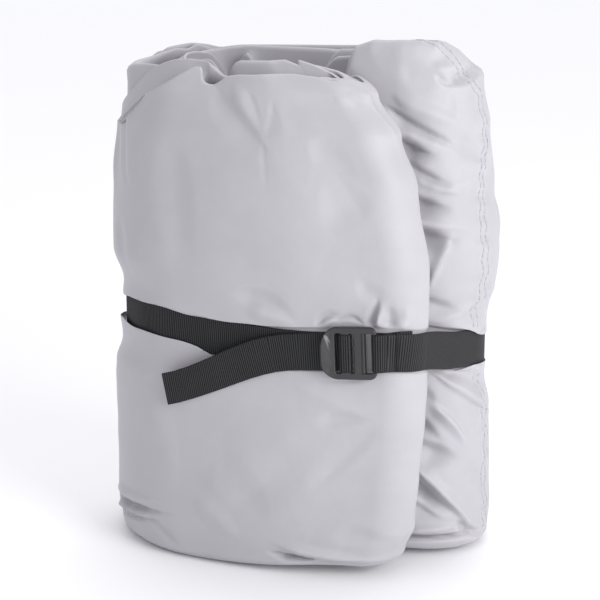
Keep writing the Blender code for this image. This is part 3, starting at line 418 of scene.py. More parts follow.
def placed(x, y, z, front):
    """Where plan points of the wound strip lie at their heights; front is 1 on the front packs."""
    deep = groove(x, y, z)
    level_z = z + (strap_height(x, y) - z) * deep
    left, right, ahead, behind = (at_height(LEVELS, column, level_z) for column in (1, 2, 3, 4))
    stands = FOLD_STANDS * front * smooth((x - FOLD_STANDS_FROM) / FOLD_STANDS_OVER)
    drawn = 1 - GROOVE_SHARE * deep * (1 - stands)
    turned = sum(share * smooth((x - start) / over) for share, start, over in TURNED_BACK)
    crest = CREST - CREST_FALL * (x / HALF_WIDTH) ** 2 - np.where(y < 0, turned, 0)
    back = front * at_height(FRONT_EDGE, 1, level_z) * smooth((x - DRAW_FROM) / DRAW_OVER)
    across = x * np.where(x < 0, left, right) * drawn - back
    return np.stack((across, y * np.where(y < 0, ahead, behind) * drawn * crest, z), axis=-1)


# ---------------------------------------------------------------- the wound strip's route
def stretch(share, begins, ends):
    """The foot's height and the draw of the front's fold along a stretch of the route."""
    return np.array(begins) + (np.array(ends) - np.array(begins)) * smooth(share)


def run(x_from, x_to, y, spacing, begins=PLAIN, ends=PLAIN):
    """A straight stretch along X, without its last point."""
    count = max(RUN_SECTIONS, ceil(abs(x_to - x_from) / spacing))
    share = np.arange(count)[:, None] / count
    x = x_from + (x_to - x_from) * share
    return np.hstack((x, np.full_like(share, y), stretch(share, begins, ends)))


def bend(centre, half_x, half_y, start, end, spacing, begins=PLAIN, ends=PLAIN):
    """An elliptical stretch about a centre, without its last point; angles are in degrees."""
    arc = abs(radians(end - start)) * (half_x + half_y) / 2
    count = max(BEND_SECTIONS, ceil(arc / spacing))
    share = np.arange(count)[:, None] / count
    turn = np.radians(start + (end - start) * share)
    x, y = centre[0] + half_x * np.cos(turn), centre[1] + half_y * np.sin(turn)
    return np.hstack((x, y, stretch(share, begins, ends)))


def wound_route():
    """The middle line of the pack, from the inner tucked end to the outer one."""
    half = (PACK_THICK + PACK_GAP) / 2
    face = HALF_DEPTH - PACK_THICK / 2
    middle = face - half
    tuck = -TUCK_FRONT + PACK_THICK + PACK_GAP / 2
    left_half = HALF_WIDTH + LEFT_CENTRE - PACK_THICK - PACK_GAP / 2
    lobe_half = (middle - tuck) / 2
    lobe_x = HALF_WIDTH - PACK_THICK - PACK_GAP / 2 - lobe_half
    lobe, left = (lobe_x, (middle + tuck) / 2), (LEFT_CENTRE, 0.0)
    drop_from, drop_to = LOBE_DROP
    inner, outer = lobe_half - half, lobe_half + half
    inward, outward = left_half - half, left_half + half
    # Each stretch has its kind's spacing, or a share of it where its rim bends more or less.
    stretches = (
        # the inner pack: tucked end, round inside the right lobe, back, left bend, front
        run(TUCK_END, drop_from, tuck + half, HIDDEN_STEP),
        run(drop_from, drop_to, tuck + half, INNER_STEP),
        run(drop_to, lobe_x, tuck + half, HIDDEN_STEP),
        bend(lobe, inner, inner, -90, 90, HIDDEN_STEP),
        run(lobe_x, LEFT_CENTRE, middle - half, 0.7 * INNER_STEP),
        bend(left, inward, middle - half, 90, 270, 0.7 * INNER_STEP, ends=FRONT),
        run(LEFT_CENTRE, FRONT_FOLD, half - middle, 0.5 * INNER_STEP, FRONT, FRONT_END),
        # the fold that ends the front, from the inner pack to the outer one
        bend((FRONT_FOLD, -middle), half, half, 90, -90, SEEN_STEP, FRONT_END, FRONT_END),
        # the outer pack: front, left bend, back, right bend, tucked end
        run(FRONT_FOLD, LEFT_CENTRE, -face, SEEN_STEP, FRONT_END, FRONT),
        bend(left, outward, face, 270, 180, 1.15 * SEEN_STEP, FRONT, LEFT_SIDE),
        bend(left, outward, face, 180, 90, BACK_STEP, LEFT_SIDE),
        run(LEFT_CENTRE, lobe_x, face, BACK_STEP),
        bend(lobe, outer, outer, 90, 0, 0.8 * BACK_STEP, ends=LOBE_SIDE),
        bend(lobe, outer, outer, 0, -90, SEEN_STEP, LOBE_SIDE, LOBE_FRONT),
        run(lobe_x, drop_to, tuck - half, 1.3 * SEEN_STEP, LOBE_FRONT, LOBE_TUCK),
        run(drop_to, drop_from, tuck - half, 2 * SEEN_STEP, LOBE_TUCK),
        run(drop_from, TUCK_END, tuck - half, HIDDEN_STEP),
        np.array([[TUCK_END, tuck - half, *PLAIN]]),
    )
    return np.vstack(stretches)


class Strip:
    """The wound pack's middle line, with its outward normals and the distance along it."""

    def __init__(self):
        route = wound_route()
        self.x, self.y, self.foot, self.front = route.T
        step = np.gradient(route[:, :2], axis=0)
        step /= np.linalg.norm(step, axis=1)[:, None]
        self.out_x, self.out_y = -step[:, 1], step[:, 0]
        lengths = np.hypot(np.diff(self.x), np.diff(self.y))
        self.along = np.concatenate(([0.0], np.cumsum(lengths)))
        fronts = np.flatnonzero(self.y < FRONT_SIDE)
        self.fold = fronts[np.argmax(self.x[fronts])]

    def at(self, along, name):
        """One of its columns at distances along it."""
        return np.interp(along, self.along, getattr(self, name))


# ---------------------------------------------------------------- the cloth's relief
def rim_at(along):
    """The rim's crests and partings at places, as columns of its table."""
    return [sum(np.interp(along + way * RIM_EASE, RIM[:, 0], column) for way in (-1, 0, 1)) / 3
            for column in RIM.T[1:]]


def creased(along, z):
    """How far the outer face's soft dents and swellings stand out at a place."""
    total = np.zeros_like(along)
    for at, height, long, broad, lean, out in CREASES:
        onward, up, turn = along - at, z - height, radians(lean)
        lengthwise = (onward * cos(turn) + up * sin(turn)) / long
        across = (up * cos(turn) - onward * sin(turn)) / broad
        near = np.clip(1 - lengthwise ** 2, 0, 1) * np.clip(1 - across ** 2, 0, 1)
        total += out * near ** 2
    return total


FOLD_STARTS = 0.32      # a fold rises over this share of its length
FOLD_ENDS = 0.50        # and fades out over this one
FOLD_NARROWS = 0.60     # by this share of its breadth it is narrower at its ends
CRISP_FALL = 1.35       # how fast a crisp fold's flanks fall, as a power


def folded(along, z):
    """How far the outer face's folds stand out at a place."""
    total = np.zeros_like(along)
    for at, height, to_along, to_height, bow, wide, out, crisp, lean in FOLDS:
        way = np.array((to_along - at, to_height - height))
        length = hypot(*way)
        way /= length
        onward, up = along - at, z - height
        share = (onward * way[0] + up * way[1]) / length
        inside = np.clip(share, 0, 1)
        aside = up * way[0] - onward * way[1] - bow * 4 * inside * (1 - inside)
        taper = smooth(share / FOLD_STARTS) * smooth((1 - share) / FOLD_ENDS)
        flank = wide * (1 + lean * np.sign(aside)) * (1 - FOLD_NARROWS * (1 - taper))
        near = np.clip(1 - np.abs(aside) / flank, 0, 1)
        soft = (near * (2 - near)) ** 2
        total += out * taper * (soft + (near ** CRISP_FALL - soft) * crisp)
    return total


# The crumple's broad and small noise: its lengths along the strip and up it, the depth at which
# it is read, the level that its crisp lines rise to, and its share.
CRUMPLES = ((0.060, 0.075, 3.1, 0.30, 1.0), (0.026, 0.034, 7.7, 0.25, 0.45))


def crumpled(along, z):
    """The small random crumple of coated cloth, as crisp lines with flat cloth between them."""
    total = np.zeros(along.size)
    for i, (a, b) in enumerate(zip(along.flat, z.flat)):
        total[i] = sum(share * (level - abs(noise.noise(Vector((a / long, b / tall, depth)))))
                       for long, tall, depth, level, share in CRUMPLES)
    return total.reshape(along.shape)


# How strongly the cloth is crumpled at places along the strip.
CRUMPLED = (
    (0.637, 0.15), (0.800, 0.20), (0.860, 0.55), (0.960, 1.0), (1.160, 1.2), (1.220, 1.3),
    (1.300, 1.3),
)


def seam_distance(along, z):
    """How far places are from the seam's middle line, and how far down it."""
    best, down = np.full_like(along, 1.0), np.zeros_like(along)
    walked = 0.0
    for (a, h), (b, k) in zip(SEAM, SEAM[1:]):
        length = hypot(b - a, k - h)
        share = np.clip(((along - a) * (b - a) + (z - h) * (k - h)) / length ** 2, 0, 1)
        away = np.hypot(along - a - (b - a) * share, z - h - (k - h) * share)
        nearer = away < best
        best = np.where(nearer, away, best)
        down = np.where(nearer, walked + share * length, down)
        walked += length
    return best, down


SEAM_HALF = 0.0024      # the seam's stitch lines lie this far to each side of its middle
BAND_OUT = 0.0007       # its band of doubled cloth stands this far out,
BAND_HALF = 0.0040      # is this broad to each side
BAND_EDGE = 0.0014      # and ends over this width
STITCH_DRAW = 0.0006    # a line of stitches draws the cloth in this far,
STITCH_HALF = 0.0009    # over this half width
PUCKER = 0.0150         # the spacing of the puckers that its stitches draw,
PUCKER_OUT = 0.0009     # how far those stand out,
PUCKER_REACH = 0.0085   # how far they reach from the seam,
PUCKER_SHIFT = 1.3      # and how far they stray from that spacing, in radians,
PUCKER_STRAY = 0.021    # along it in this measure


def seamed(along, z):
    """The seam's raised band, its stitch lines drawn in, and the puckers beside it."""
    away, down = seam_distance(along, z)
    band = BAND_OUT * (1 - smooth((away - BAND_HALF) / BAND_EDGE))
    stitched = STITCH_DRAW * np.exp(-((away - SEAM_HALF) / STITCH_HALF) ** 2)
    wave = np.sin(2 * pi * down / PUCKER + PUCKER_SHIFT * np.sin(down / PUCKER_STRAY))
    return band - stitched + PUCKER_OUT * wave * np.exp(-(away / PUCKER_REACH) ** 2)


# Where the face leans in under its rim: the middle along the strip, half the length over which
# it does so, how far in it lies at the rim, from which height, and over which rise.
LEANS = ((0.875, 0.055, 0.0038, 0.262, 0.055), (1.215, 0.040, 0.0018, 0.290, 0.035))
LEAN_FULL = 0.4         # the share of the half length over which it leans in fully


def leaned(along, z):
    """How far the outer face leans in at a place, as a negative distance."""
    total = np.zeros_like(along)
    for at, half, inward, height, rise in LEANS:
        near = 1 - smooth((np.abs(along - at) / half - LEAN_FULL) / (1 - LEAN_FULL))
        total -= inward * near * smooth((z - height) / rise)
    return total


STRAP_CLEAR = 0.0134    # the cloth stays smooth this far above and below the strap's middle
CLEAR_EASE = 0.0050     # and its folds come in over this height past that
STRAP_EDGE_GAP = 0.0007     # between the strap's edge and the end of the cloth's smooth part


def beside_strap(x, y, z):
    """0 under the strap and 1 clear of it."""
    away = np.abs(z - strap_height(x, y))
    return smooth((away - STRAP_CLEAR) / CLEAR_EASE)


# How the cloth bulges over the strap's two edges at a distance along the strip, in millimetres:
# how far it hangs over the upper edge and how far out it stands there, and the same at the lower
# edge.
LIPS = in_metres((
    (630, 0, 1.2, 0, 1.2), (705, 0, 1.4, 0, 1.2), (725, 0.8, 2.6, 0, 1.2), (775, 1.8, 2.8, 0, 2),
    (800, 2.2, 3, 2.2, 3), (830, 2.8, 3.4, 3.2, 3.6), (860, 3.2, 4, 3.8, 5),
    (890, 3.4, 4.4, 4.2, 7.4),
    (915, 3, 4, 3.6, 6.8), (950, 1.4, 2.8, 1.4, 3.2), (1160, 1.8, 2.8, 2, 2.8),
    (1200, 2.8, 3.2, 2.2, 3), (1226, 3.2, 3.6, 2.2, 3.2), (1240, 1.6, 4, 2.2, 3.6),
    (1252, 0.4, 4.4, 1.2, 4), (1264, 0, 4, 0, 2.6), (1285, 0, 1.6, 0, 1.6),
))
LIP_RISE = 0.0022       # the cloth comes out to its lip over this height,
LIP_TURN = 0.0034       # and the lip's edge lies this far past the cloth's smooth part
LIP_FADES = (0.0220, 0.0280)    # the upper and the lower lip fade into the face over these heights
LIP_FROM = 0.0024       # a lip that hangs over by less than this begins to fade out
LIP_TURNS_FROM = 0.4 * LIP_RISE     # it begins to hang over this far past that part,
LIP_SETTLES = 0.8       # and is back in its place over this share of its fade
# How a lip's reach wanders along the strap: each wave's share, its length over 2 pi and its start.
LIP_WANDER = ((0.18, 0.0115, 0.7), (0.12, 0.0051, 0.0))


def lipped(along, up):
    """How far the cloth beside the strap stands out and is lifted, by its height from it."""
    out, lift = np.zeros_like(along), np.zeros_like(along)
    wander = 1 + sum(share * np.sin(along / length + start) for share, length, start in LIP_WANDER)
    for side, column in ((1, 1), (-1, 3)):
        over, stand = (np.interp(along, LIPS[:, 0], LIPS[:, i]) for i in (column, column + 1))
        away = side * up - STRAP_CLEAR
        fade = LIP_FADES[side < 0]
        out += stand * smooth(away / LIP_RISE) * (1 - smooth((away - LIP_TURN) / fade))
        reach = (over * wander + LIP_TURN + STRAP_EDGE_GAP) * smooth(over / LIP_FROM)
        turned_over = smooth((away - LIP_TURNS_FROM) / (LIP_TURN - LIP_TURNS_FROM))
        lift -= side * reach * turned_over * (1 - smooth((away - LIP_TURN) / (LIP_SETTLES * fade)))
    return out, lift


def relief(along, x, y, z, settings):
    """How far the outer face stands out of the plain pack at a place."""
    clear = beside_strap(x, y, z)
    open_face = 1 - groove(x, y, z)
    amount = np.interp(along, *zip(*CRUMPLED))
    total = creased(along, z) * open_face + leaned(along, z)
    total += folded(along, z) * settings.fold_depth * clear
    total += (seamed(along, z) + crumpled(along, z) * amount * settings.crumple) * clear
    return total


def spread(strip, along, out, z):
    """Where places at distances out of the pack's middle line lie, in the model's frame."""
    x = strip.at(along, "x") + strip.at(along, "out_x") * out
    y = strip.at(along, "y") + strip.at(along, "out_y") * out
    return drawn_in(placed(x, y, z, strip.at(along, "front"))) + CENTRED


OUTER_FROM = 0.020      # the outer face's folds begin this far before the fold that ends the front
OVER_CREST = 0.004      # the folds go on over the crest as they are this far above its middle,
CREST_LIFT = 0.5        # and lift it by this share of how far they stand out


def skin(strip, along, height, settings):
    """Places on the pack's outer face and on over its first crest, in the model's frame.

    Height is measured up the face, and past the crest's foot it goes on round the crest."""
    out, z, radius = rim_at(along)[:3]
    start = z - radius
    angle = np.clip((height - start) / radius, 0, pi)
    lean = smooth((height - start + SHOULDER) / SHOULDER)
    face = PACK_THICK / 2 + (out + radius - PACK_THICK / 2) * lean
    offset = np.where(height < start, face, out + radius * np.cos(angle))
    z = np.minimum(height, start) + radius * np.sin(angle)
    x, y = outer_plan(strip, along)
    outer = smooth((along - strip.along[strip.fold] + OUTER_FROM) / OUTER_FROM)
    push = relief(along, x, y, np.minimum(height, z + OVER_CREST), settings) * outer
    out, lift = lipped(along, height - strap_height(x, y))
    offset = offset + (push + out * outer) * np.cos(angle / 2) ** 2
    return spread(strip, along, offset, z + push * np.sin(angle) * CREST_LIFT + lift * outer)


def outer_plan(strip, along):
    """Where the pack's plain outer face lies in plan."""
    half = PACK_THICK / 2
    return (strip.at(along, "x") + strip.at(along, "out_x") * half,
            strip.at(along, "y") + strip.at(along, "out_y") * half)


def over_rim(along):
    """How far out and how high the rim lies past its first crest, a column for each point."""
    rim = rim_at(along)
    outs, heights = [], []
    for k in (0, 5):
        out, z, radius, low_out, low_z, next_out, next_z, next_radius = rim[k:k + 8]
        first, last = (out - radius, z - radius), (next_out + next_radius, next_z - next_radius)
        low_z = np.minimum(low_z, np.minimum(first[1], last[1]))
        for i in range(PARTING_POINTS):
            t = (i + 1) / (PARTING_POINTS + 1)
            outs.append(first[0] * (1 - t) ** 2 + 2 * t * (1 - t) * low_out + last[0] * t ** 2)
            heights.append(first[1] * (1 - t) ** 2 + 2 * t * (1 - t) * low_z + last[1] * t ** 2)
        for i in range(CREST_POINTS):
            turn = pi * i / (CREST_POINTS - 1)
            outs.append(next_out + next_radius * cos(turn))
            heights.append(next_z - next_radius + next_radius * sin(turn))
    return np.concatenate(outs, axis=1), np.concatenate(heights, axis=1)


def drawn_in(points):
    """The cloth with its plies drawn together where the front is pinched at the top."""
    away = PINCH - points[..., :2]
    near = np.exp(-(away ** 2).sum(-1) / PINCH_RADIUS ** 2)
    near = near * PINCH_SHARE * smooth((points[..., 2] - PINCH_FROM) / PINCH_OVER)
    points[..., :2] += away * near[..., None]
    return points


# ---------------------------------------------------------------- meshes
SAME_PLACE = 1e-7       # vertices closer than this are one


def grid_mesh(places, flat, closed, thin=None):
    """A skin through rows of places, made from a grid, with flat as its UV map in metres.

    A closed skin's columns join round, and its first and last rows are filled in. Where thin
    says so of a column and a row, the edge from that row to the next one is left out."""
    rows, columns = places.shape[:2]
    mesh = bmesh.new()
    around = columns if closed else columns - 1
    bmesh.ops.create_grid(mesh, x_segments=around, y_segments=rows - 1, size=0.5)
    layer = mesh.loops.layers.uv.new("cloth")
    spots = {}
    for vert in mesh.verts:
        i, j = round((vert.co.x + 0.5) * around), round((vert.co.y + 0.5) * (rows - 1))
        spots[vert.index] = (i, j)
        vert.co = places[j, i % columns]
    for face in mesh.faces:
        for loop in face.loops:
            i, j = spots[loop.vert.index]
            loop[layer].uv = flat[j, i]
    if thin:
        spare = []
        for edge in mesh.edges:
            (i, j), (k, l) = (spots[vert.index] for vert in edge.verts)
            if i == k and thin(i, min(j, l)):
                spare.append(edge)
    if closed:
        seam = [vert for vert in mesh.verts if spots[vert.index][0] in (0, around)]
        bmesh.ops.remove_doubles(mesh, verts=seam, dist=SAME_PLACE)
        rim = [edge for edge in mesh.edges if edge.is_boundary]
        bmesh.ops.holes_fill(mesh, edges=rim, sides=0)
        bmesh.ops.triangulate(mesh, faces=[face for face in mesh.faces if len(face.verts) > 4])
    if thin:
        bmesh.ops.dissolve_edges(mesh, edges=spare, use_verts=True)
    bmesh.ops.recalc_face_normals(mesh, faces=mesh.faces)
    return mesh


def finished(name, mesh, material, replaced=()):
    """The mesh as a piece that rides on the bundle."""
    data = bpy.data.meshes.new(name)
    mesh.to_mesh(data)
    mesh.free()
    data.materials.append(material)
    data.shade_smooth()
    piece = bpy.data.objects.new(name, data)
    bpy.context.scene.collection.objects.link(piece)
    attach(piece, "root")
    if replaced:
        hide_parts(*replaced)
    return piece


LIP_LEVEL = STRAP_CLEAR + 0.003     # the lips turn about this far above and below the strap
# Where the levels lie closer together up the face: a height, half the breadth and how much.
CLOSER = (
    (0.018, 0.026, 0.7), (STRAP_LEVEL - LIP_LEVEL, 0.008, 2.4), (STRAP_LEVEL + LIP_LEVEL, 0.008, 2.4),
    (STRAP_LEVEL, 0.010, -0.6), (0.325, 0.026, 0.6),
)
BESIDE = 0.034          # this far above and below the strap the levels follow it exactly
HEIGHTS_READ = 1200     # the levels' spacing is summed at so many heights
FOOT_TURNS = np.radians(((20, 50, 80),))    # the points round the pack's lower edges
BACK_LEANS = 0.15       # the inner face leans in to its rim over this share of its height
END_ROUND = 0.008       # how far a rounded end of the strip reaches past it
END_SHRINK = 0.45       # and its size there, as a share


def ring_heights(strip):
    """For each section, the heights up the face and over its first crest."""
    z = np.linspace(0, BUNDLE_HEIGHT, HEIGHTS_READ)
    weight = np.ones_like(z)
    for height, half, more in CLOSER:
        weight += more * (1 - smooth(np.abs(z - height) / half))
    walked = np.concatenate(([0], np.cumsum(weight[1:] + weight[:-1])))
    seen = np.interp(np.linspace(0, 1, FACE_LEVELS), walked / walked[-1], z)
    hidden = 1 - (1 - np.linspace(0, 1, FACE_LEVELS)) ** 2
    outer = smooth((strip.along - strip.along[strip.fold] + 2 * OUTER_FROM) / OUTER_FROM)[:, None]
    _, top, radius = (column[:, None] for column in rim_at(strip.along)[:3])
    side = (strip.foot + FOOT)[:, None]
    strap = strap_height(*outer_plan(strip, strip.along))[:, None]
    up = seen[None] - STRAP_LEVEL
    below, above = STRAP_LEVEL - BESIDE, BUNDLE_HEIGHT - STRAP_LEVEL - BESIDE
    high = (up - BESIDE) / above * (top - radius - strap - BESIDE) + BESIDE
    low = (up + BESIDE) / below * (strap - BESIDE - side) - BESIDE
    follow = strap + np.where(up > BESIDE, high, np.where(up < -BESIDE, low, up))
    face = outer * follow + (1 - outer) * (side + (top - radius - side) * hidden)
    return np.hstack((face, top - radius + radius * np.linspace(0, pi, CREST_POINTS)[None, 1:]))


def cover_places(strip, settings):
    """The whole pack's skin as rows of places, with its flat map in metres."""
    half = PACK_THICK / 2
    along = strip.along[:, None]
    foot = strip.foot[:, None]

    def plain(out, z):
        out, z = np.broadcast_arrays(out + 0 * along, z + 0 * along)
        return spread(strip, np.broadcast_to(along, out.shape), out, z)

    heights = ring_heights(strip)
    up = skin(strip, np.broadcast_to(along, heights.shape), heights, settings)
    outs, tops = over_rim(along)
    turns = FOOT_TURNS
    down = np.linspace(1, 0, BACK_LEVELS + 1)[None, 1:]
    low = plain(half - FOOT + FOOT * np.sin(turns), foot + FOOT - FOOT * np.cos(turns))
    back_out = -half + (outs[:, -1:] + half) * smooth(1 - (1 - down) / BACK_LEANS)
    back = plain(back_out, foot + FOOT + (tops[:, -1:] - foot - FOOT) * down)
    under = plain(-half + FOOT * (1 - np.cos(turns)), foot + FOOT - FOOT * np.sin(turns))
    floor = plain(np.linspace(-half + FOOT, half - FOOT, 2)[None], foot)
    places = np.concatenate((low, up, plain(outs, tops), back, under, floor), axis=1)
    ends = [end_ring(places[i], places[i] - places[j]) for i, j in ((0, 3), (-1, -4))]
    places = np.concatenate((ends[0][None], places, ends[1][None]))
    steps = np.linalg.norm(np.diff(places, axis=1, append=places[:, :1]), axis=2)
    around = np.concatenate((np.zeros((len(places), 1)), np.cumsum(steps, axis=1)), axis=1)
    first, last = strip.along[0] - END_ROUND, strip.along[-1] + END_ROUND
    onward = np.concatenate(([first], strip.along, [last]))
    flat = np.stack((np.repeat(onward[:, None], around.shape[1], axis=1), around), axis=-1)
    return places, flat


def end_ring(ring, way):
    """A smaller ring past the pack's last one, so that its end is rounded."""
    flat = np.column_stack((np.repeat(ring[:, :2].mean(axis=0)[None], len(ring), axis=0), ring[:, 2]))
    onward = np.column_stack((way[:, :2], np.zeros(len(way))))
    onward *= END_ROUND / np.maximum(np.linalg.norm(onward, axis=1), 1e-9)[:, None]
    return flat + (ring - flat) * END_SHRINK + onward


# ---------------------------------------------------------------- the line the strap takes
# Points of the webbing's middle line: distance right of the buckle's middle, height off the
# cloth, and how far it hangs below the strap's own level. The strap lies on the cloth, and a
# second layer lies on the first.
STRAP_THICK = 0.0015
ON_CLOTH = REST_GAP + STRAP_THICK / 2
LAYER_GAP = 0.00035
ON_WEBBING = ON_CLOTH + STRAP_THICK + LAYER_GAP
SEWN_UNDER = (
    (0.0372, ON_CLOTH, -0.0017), (0.0300, ON_CLOTH, -0.0014), (0.0230, ON_CLOTH, 0),
    (0.0163, ON_CLOTH, 0),
)
SEWN_LOOP = (
    (0.0143, 0.0018, 0), (0.0133, 0.0032, 0), (0.0133, 0.0050, 0), (0.0140, 0.0066, 0),
    (0.0152, 0.0075, 0), (0.0168, 0.0076, 0),
)
SEWN_OVER = (
    (0.0190, 0.0071, 0), (0.0222, 0.0055, 0), (0.0254, 0.0039, 0), (0.0282, ON_WEBBING, 0),
    (0.0372, ON_WEBBING, 0), (0.0440, 0.0021, 0), (0.0520, ON_CLOTH, 0),
)
UNDER_BUCKLE = ((-0.0220, ON_CLOTH, 0), (-0.0035, ON_CLOTH, 0))
TAIL = (
    (-0.0132, ON_WEBBING, 0.0002), (-0.0180, ON_WEBBING, 0.0004), (-0.0270, ON_WEBBING, 0.0007),
    (-0.0360, 0.0033, 0.0012), (-0.0450, 0.0037, 0.0023), (-0.0540, 0.0043, 0.0044),
    (-0.0630, 0.0051, 0.0077), (-0.0720, 0.0060, 0.0119), (-0.0810, 0.0070, 0.0168),
    (-0.0900, 0.0080, 0.0220), (-0.1000, 0.0090, 0.0278), (-0.1100, 0.0099, 0.0334),
    (-0.1200, 0.0107, 0.0386), (-0.1275, 0.0113, 0.0422),
)
TAIL_FREE = 0.130       # the free end's length,
TAIL_LEAN = 0.30        # how far its top leans outwards at the tip, for each metre up,
TAIL_SHEAR = 1.05       # and how nearly upright its ribs stand there, as a share

# The webbing's turns on the free end's way up, over the grip bar and down again: each one's
# centre, its radius to the middle line, and the angles it goes through.
THROUGH = (
    (-0.0036, ON_CLOTH + 0.0025, 0.0025, -60, 0), (-0.0028, 0.0058, 0.0017, 0, 90),
    (-0.0063, 0.0058, 0.0017, 90, 180), (-0.0097, ON_WEBBING + 0.0017, 0.0017, 0, -90),
)
TURN_STEP = 12          # in degrees, between the points of such a turn
EASINGS = 3             # how often a walked line's corners are eased
STRAIGHT = 1e-9         # in square metres: a corner that turns less is left out
FOLD_SECTIONS = 6       # the taut line is read from so many sections before the front's fold
FRONT_LINE = -0.05      # its front lies in front of this y
FLAT_CLEAR = 0.004      # and its side behind the buckle is read this far from the buckle's middle


def turn_of(a, b, c):
    """Twice the area of a corner, positive where it turns left."""
    return (b[0] - a[0]) * (c[1] - a[1]) - (b[1] - a[1]) * (c[0] - a[0])


def hull(points):
    """The convex line round points in plan, anticlockwise from above."""
    points = sorted(points)
    halves = []
    for line in (points, points[::-1]):
        kept = []
        for point in line:
            while len(kept) > 1 and turn_of(kept[-2], kept[-1], point) <= STRAIGHT:
                kept.pop()
            kept.append(point)
        halves += kept[:-1]
    return halves


def tight_line(strip):
    """The taut line round the outer pack at the strap's height, in plan, flat behind the buckle."""
    outer = slice(strip.fold - FOLD_SECTIONS, None)
    half = PACK_THICK / 2
    x, y = strip.x + strip.out_x * half, strip.y + strip.out_y * half
    spots = placed(x, y, strap_height(x, y), strip.front)[outer]
    points = [(float(spot[0]), float(spot[1])) for spot in spots]
    front = [point for point in hull(points) if point[1] < FRONT_LINE]
    before = max(point for point in front if point[0] < BUCKLE_X - FLAT_CLEAR)
    after = min(point for point in front if point[0] >= BUCKLE_X + FLAT_CLEAR)
    slope = (after[1] - before[1]) / (after[0] - before[0])
    for x in (BUCKLE_X - FLAT_BEHIND, BUCKLE_X + FLAT_BEHIND):
        points.append((x, before[1] + (x - before[0]) * slope))
    line = hull(points)
    first = line.index(points[-2])
    return np.array(line[first:] + line[:first])


class Line:
    """A closed convex line in plan, walked by distance, with a place at any height off it.

    Its first side is the flat one behind the buckle, where lengths stay true at any height."""

    def __init__(self, points, start_x):
        self.points = points
        sides = np.roll(points, -1, axis=0) - points
        self.lengths = np.hypot(*sides.T)
        ways = sides / self.lengths[:, None]
        self.flat = np.column_stack((ways[:, 1], -ways[:, 0]))
        both = self.flat + np.roll(self.flat, 1, axis=0)
        self.mitres = both / ((both ** 2).sum(1) / 2)[:, None]
        self.ends = np.cumsum(self.lengths)
        self.length = self.ends[-1]
        self.start = (start_x - points[0][0]) / ways[0][0]

    def place(self, along, off):
        """The plan points at distances along from the start and heights off the line."""
        along = np.mod(np.asarray(along, float) + self.start, self.length)
        i = np.minimum(np.searchsorted(self.ends, along, side="left"), len(self.lengths) - 1)
        j = (i + 1) % len(self.lengths)
        share = ((along - self.ends[i] + self.lengths[i]) / self.lengths[i])[..., None]
        off = np.asarray(off, float)[..., None]
        first = (i == 0)[..., None]
        here = self.points[i] + np.where(first, self.flat[0], self.mitres[i]) * off
        there = self.points[j] + np.where(first, self.flat[0], self.mitres[j]) * off
        return here + (there - here) * share


def turned(along, off, radius, start, end):
    """Points of one turn of the webbing round a bar."""
    count = ceil(abs(end - start) / TURN_STEP)
    angles = [radians(start + (end - start) * i / count) for i in range(count + 1)]
    return [(along + radius * cos(angle), off + radius * sin(angle), 0) for angle in angles]


def strap_threads(line):
    """The webbing from its sewn end, round the end bar and the bundle, and through the buckle."""
    through = [point for turn in THROUGH for point in turned(*turn)]
    last = np.array((*UNDER_BUCKLE, *through, *TAIL)) + (line.length, 0, 0)
    return np.concatenate((SEWN_UNDER, SEWN_LOOP, SEWN_OVER, last))


def evenly(points, spacing):
    """A line of points walked in equal steps, with its corners eased, and how far each is."""
    steps = np.linalg.norm(np.diff(points, axis=0), axis=1)
    walked = np.concatenate(([0.0], np.cumsum(steps)))
    count = ceil(walked[-1] / spacing)
    at = np.linspace(0, walked[-1], count + 1)
    made = np.stack([np.interp(at, walked, column) for column in points.T], axis=1)
    for _ in range(EASINGS):
        made[1:-1] = (made[:-2] + 2 * made[1:-1] + made[2:]) / 4
    return made, at


# ---------------------------------------------------------------- settings
class CoverSettings(bpy.types.PropertyGroup):
    fold_depth: FloatProperty(
        name="Fold depth", description="How deep the cloth's folds are, as a share of the real ones",
        default=1.0, min=0.0, max=1.5,
    )
    crumple: FloatProperty(
        name="Crumple", description="How far the cloth's small crumples stand out",
        default=0.0016, min=0.0, max=0.004, unit="LENGTH",
    )
    thread_spacing: FloatProperty(
        name="Thread spacing", description="The spacing of the weave's threads",
        default=0.0009, min=0.0003, max=0.003, unit="LENGTH",
    )
    colour: FloatVectorProperty(
        name="Cloth", description="The coated polyester's colour",
        subtype="COLOR", size=4, min=0, max=1, default=linear("B0AEB3"),
    )


class StrapSettings(bpy.types.PropertyGroup):
    width: FloatProperty(
        name="Width", description="The webbing's width",
        default=0.0254, min=0.015, max=0.030, unit="LENGTH",
    )
    rib_spacing: FloatProperty(
        name="Rib spacing", description="The spacing of the webbing's cross ribs",
        default=0.00145, min=0.0008, max=0.003, unit="LENGTH",
    )
    rib_height: FloatProperty(
        name="Rib height", description="How far the ribs stand out of the webbing",
        default=0.00020, min=0.0, max=0.0003, unit="LENGTH",
    )
    colour: FloatVectorProperty(
        name="Webbing", description="The polypropylene webbing's colour",
        subtype="COLOR", size=4, min=0, max=1, default=linear("232326"),
    )


class BuckleSettings(bpy.types.PropertyGroup):
    facet: FloatProperty(
        name="Thumb facet",
        description="How far the tab's thumb facet stands out of the tab's corners",
        default=0.0013, min=0.0, max=0.002, unit="LENGTH",
    )
    colour: FloatVectorProperty(
        name="Buckle", description="The moulded acetal's colour",
        subtype="COLOR", size=4, min=0, max=1, default=linear("242427"),
    )


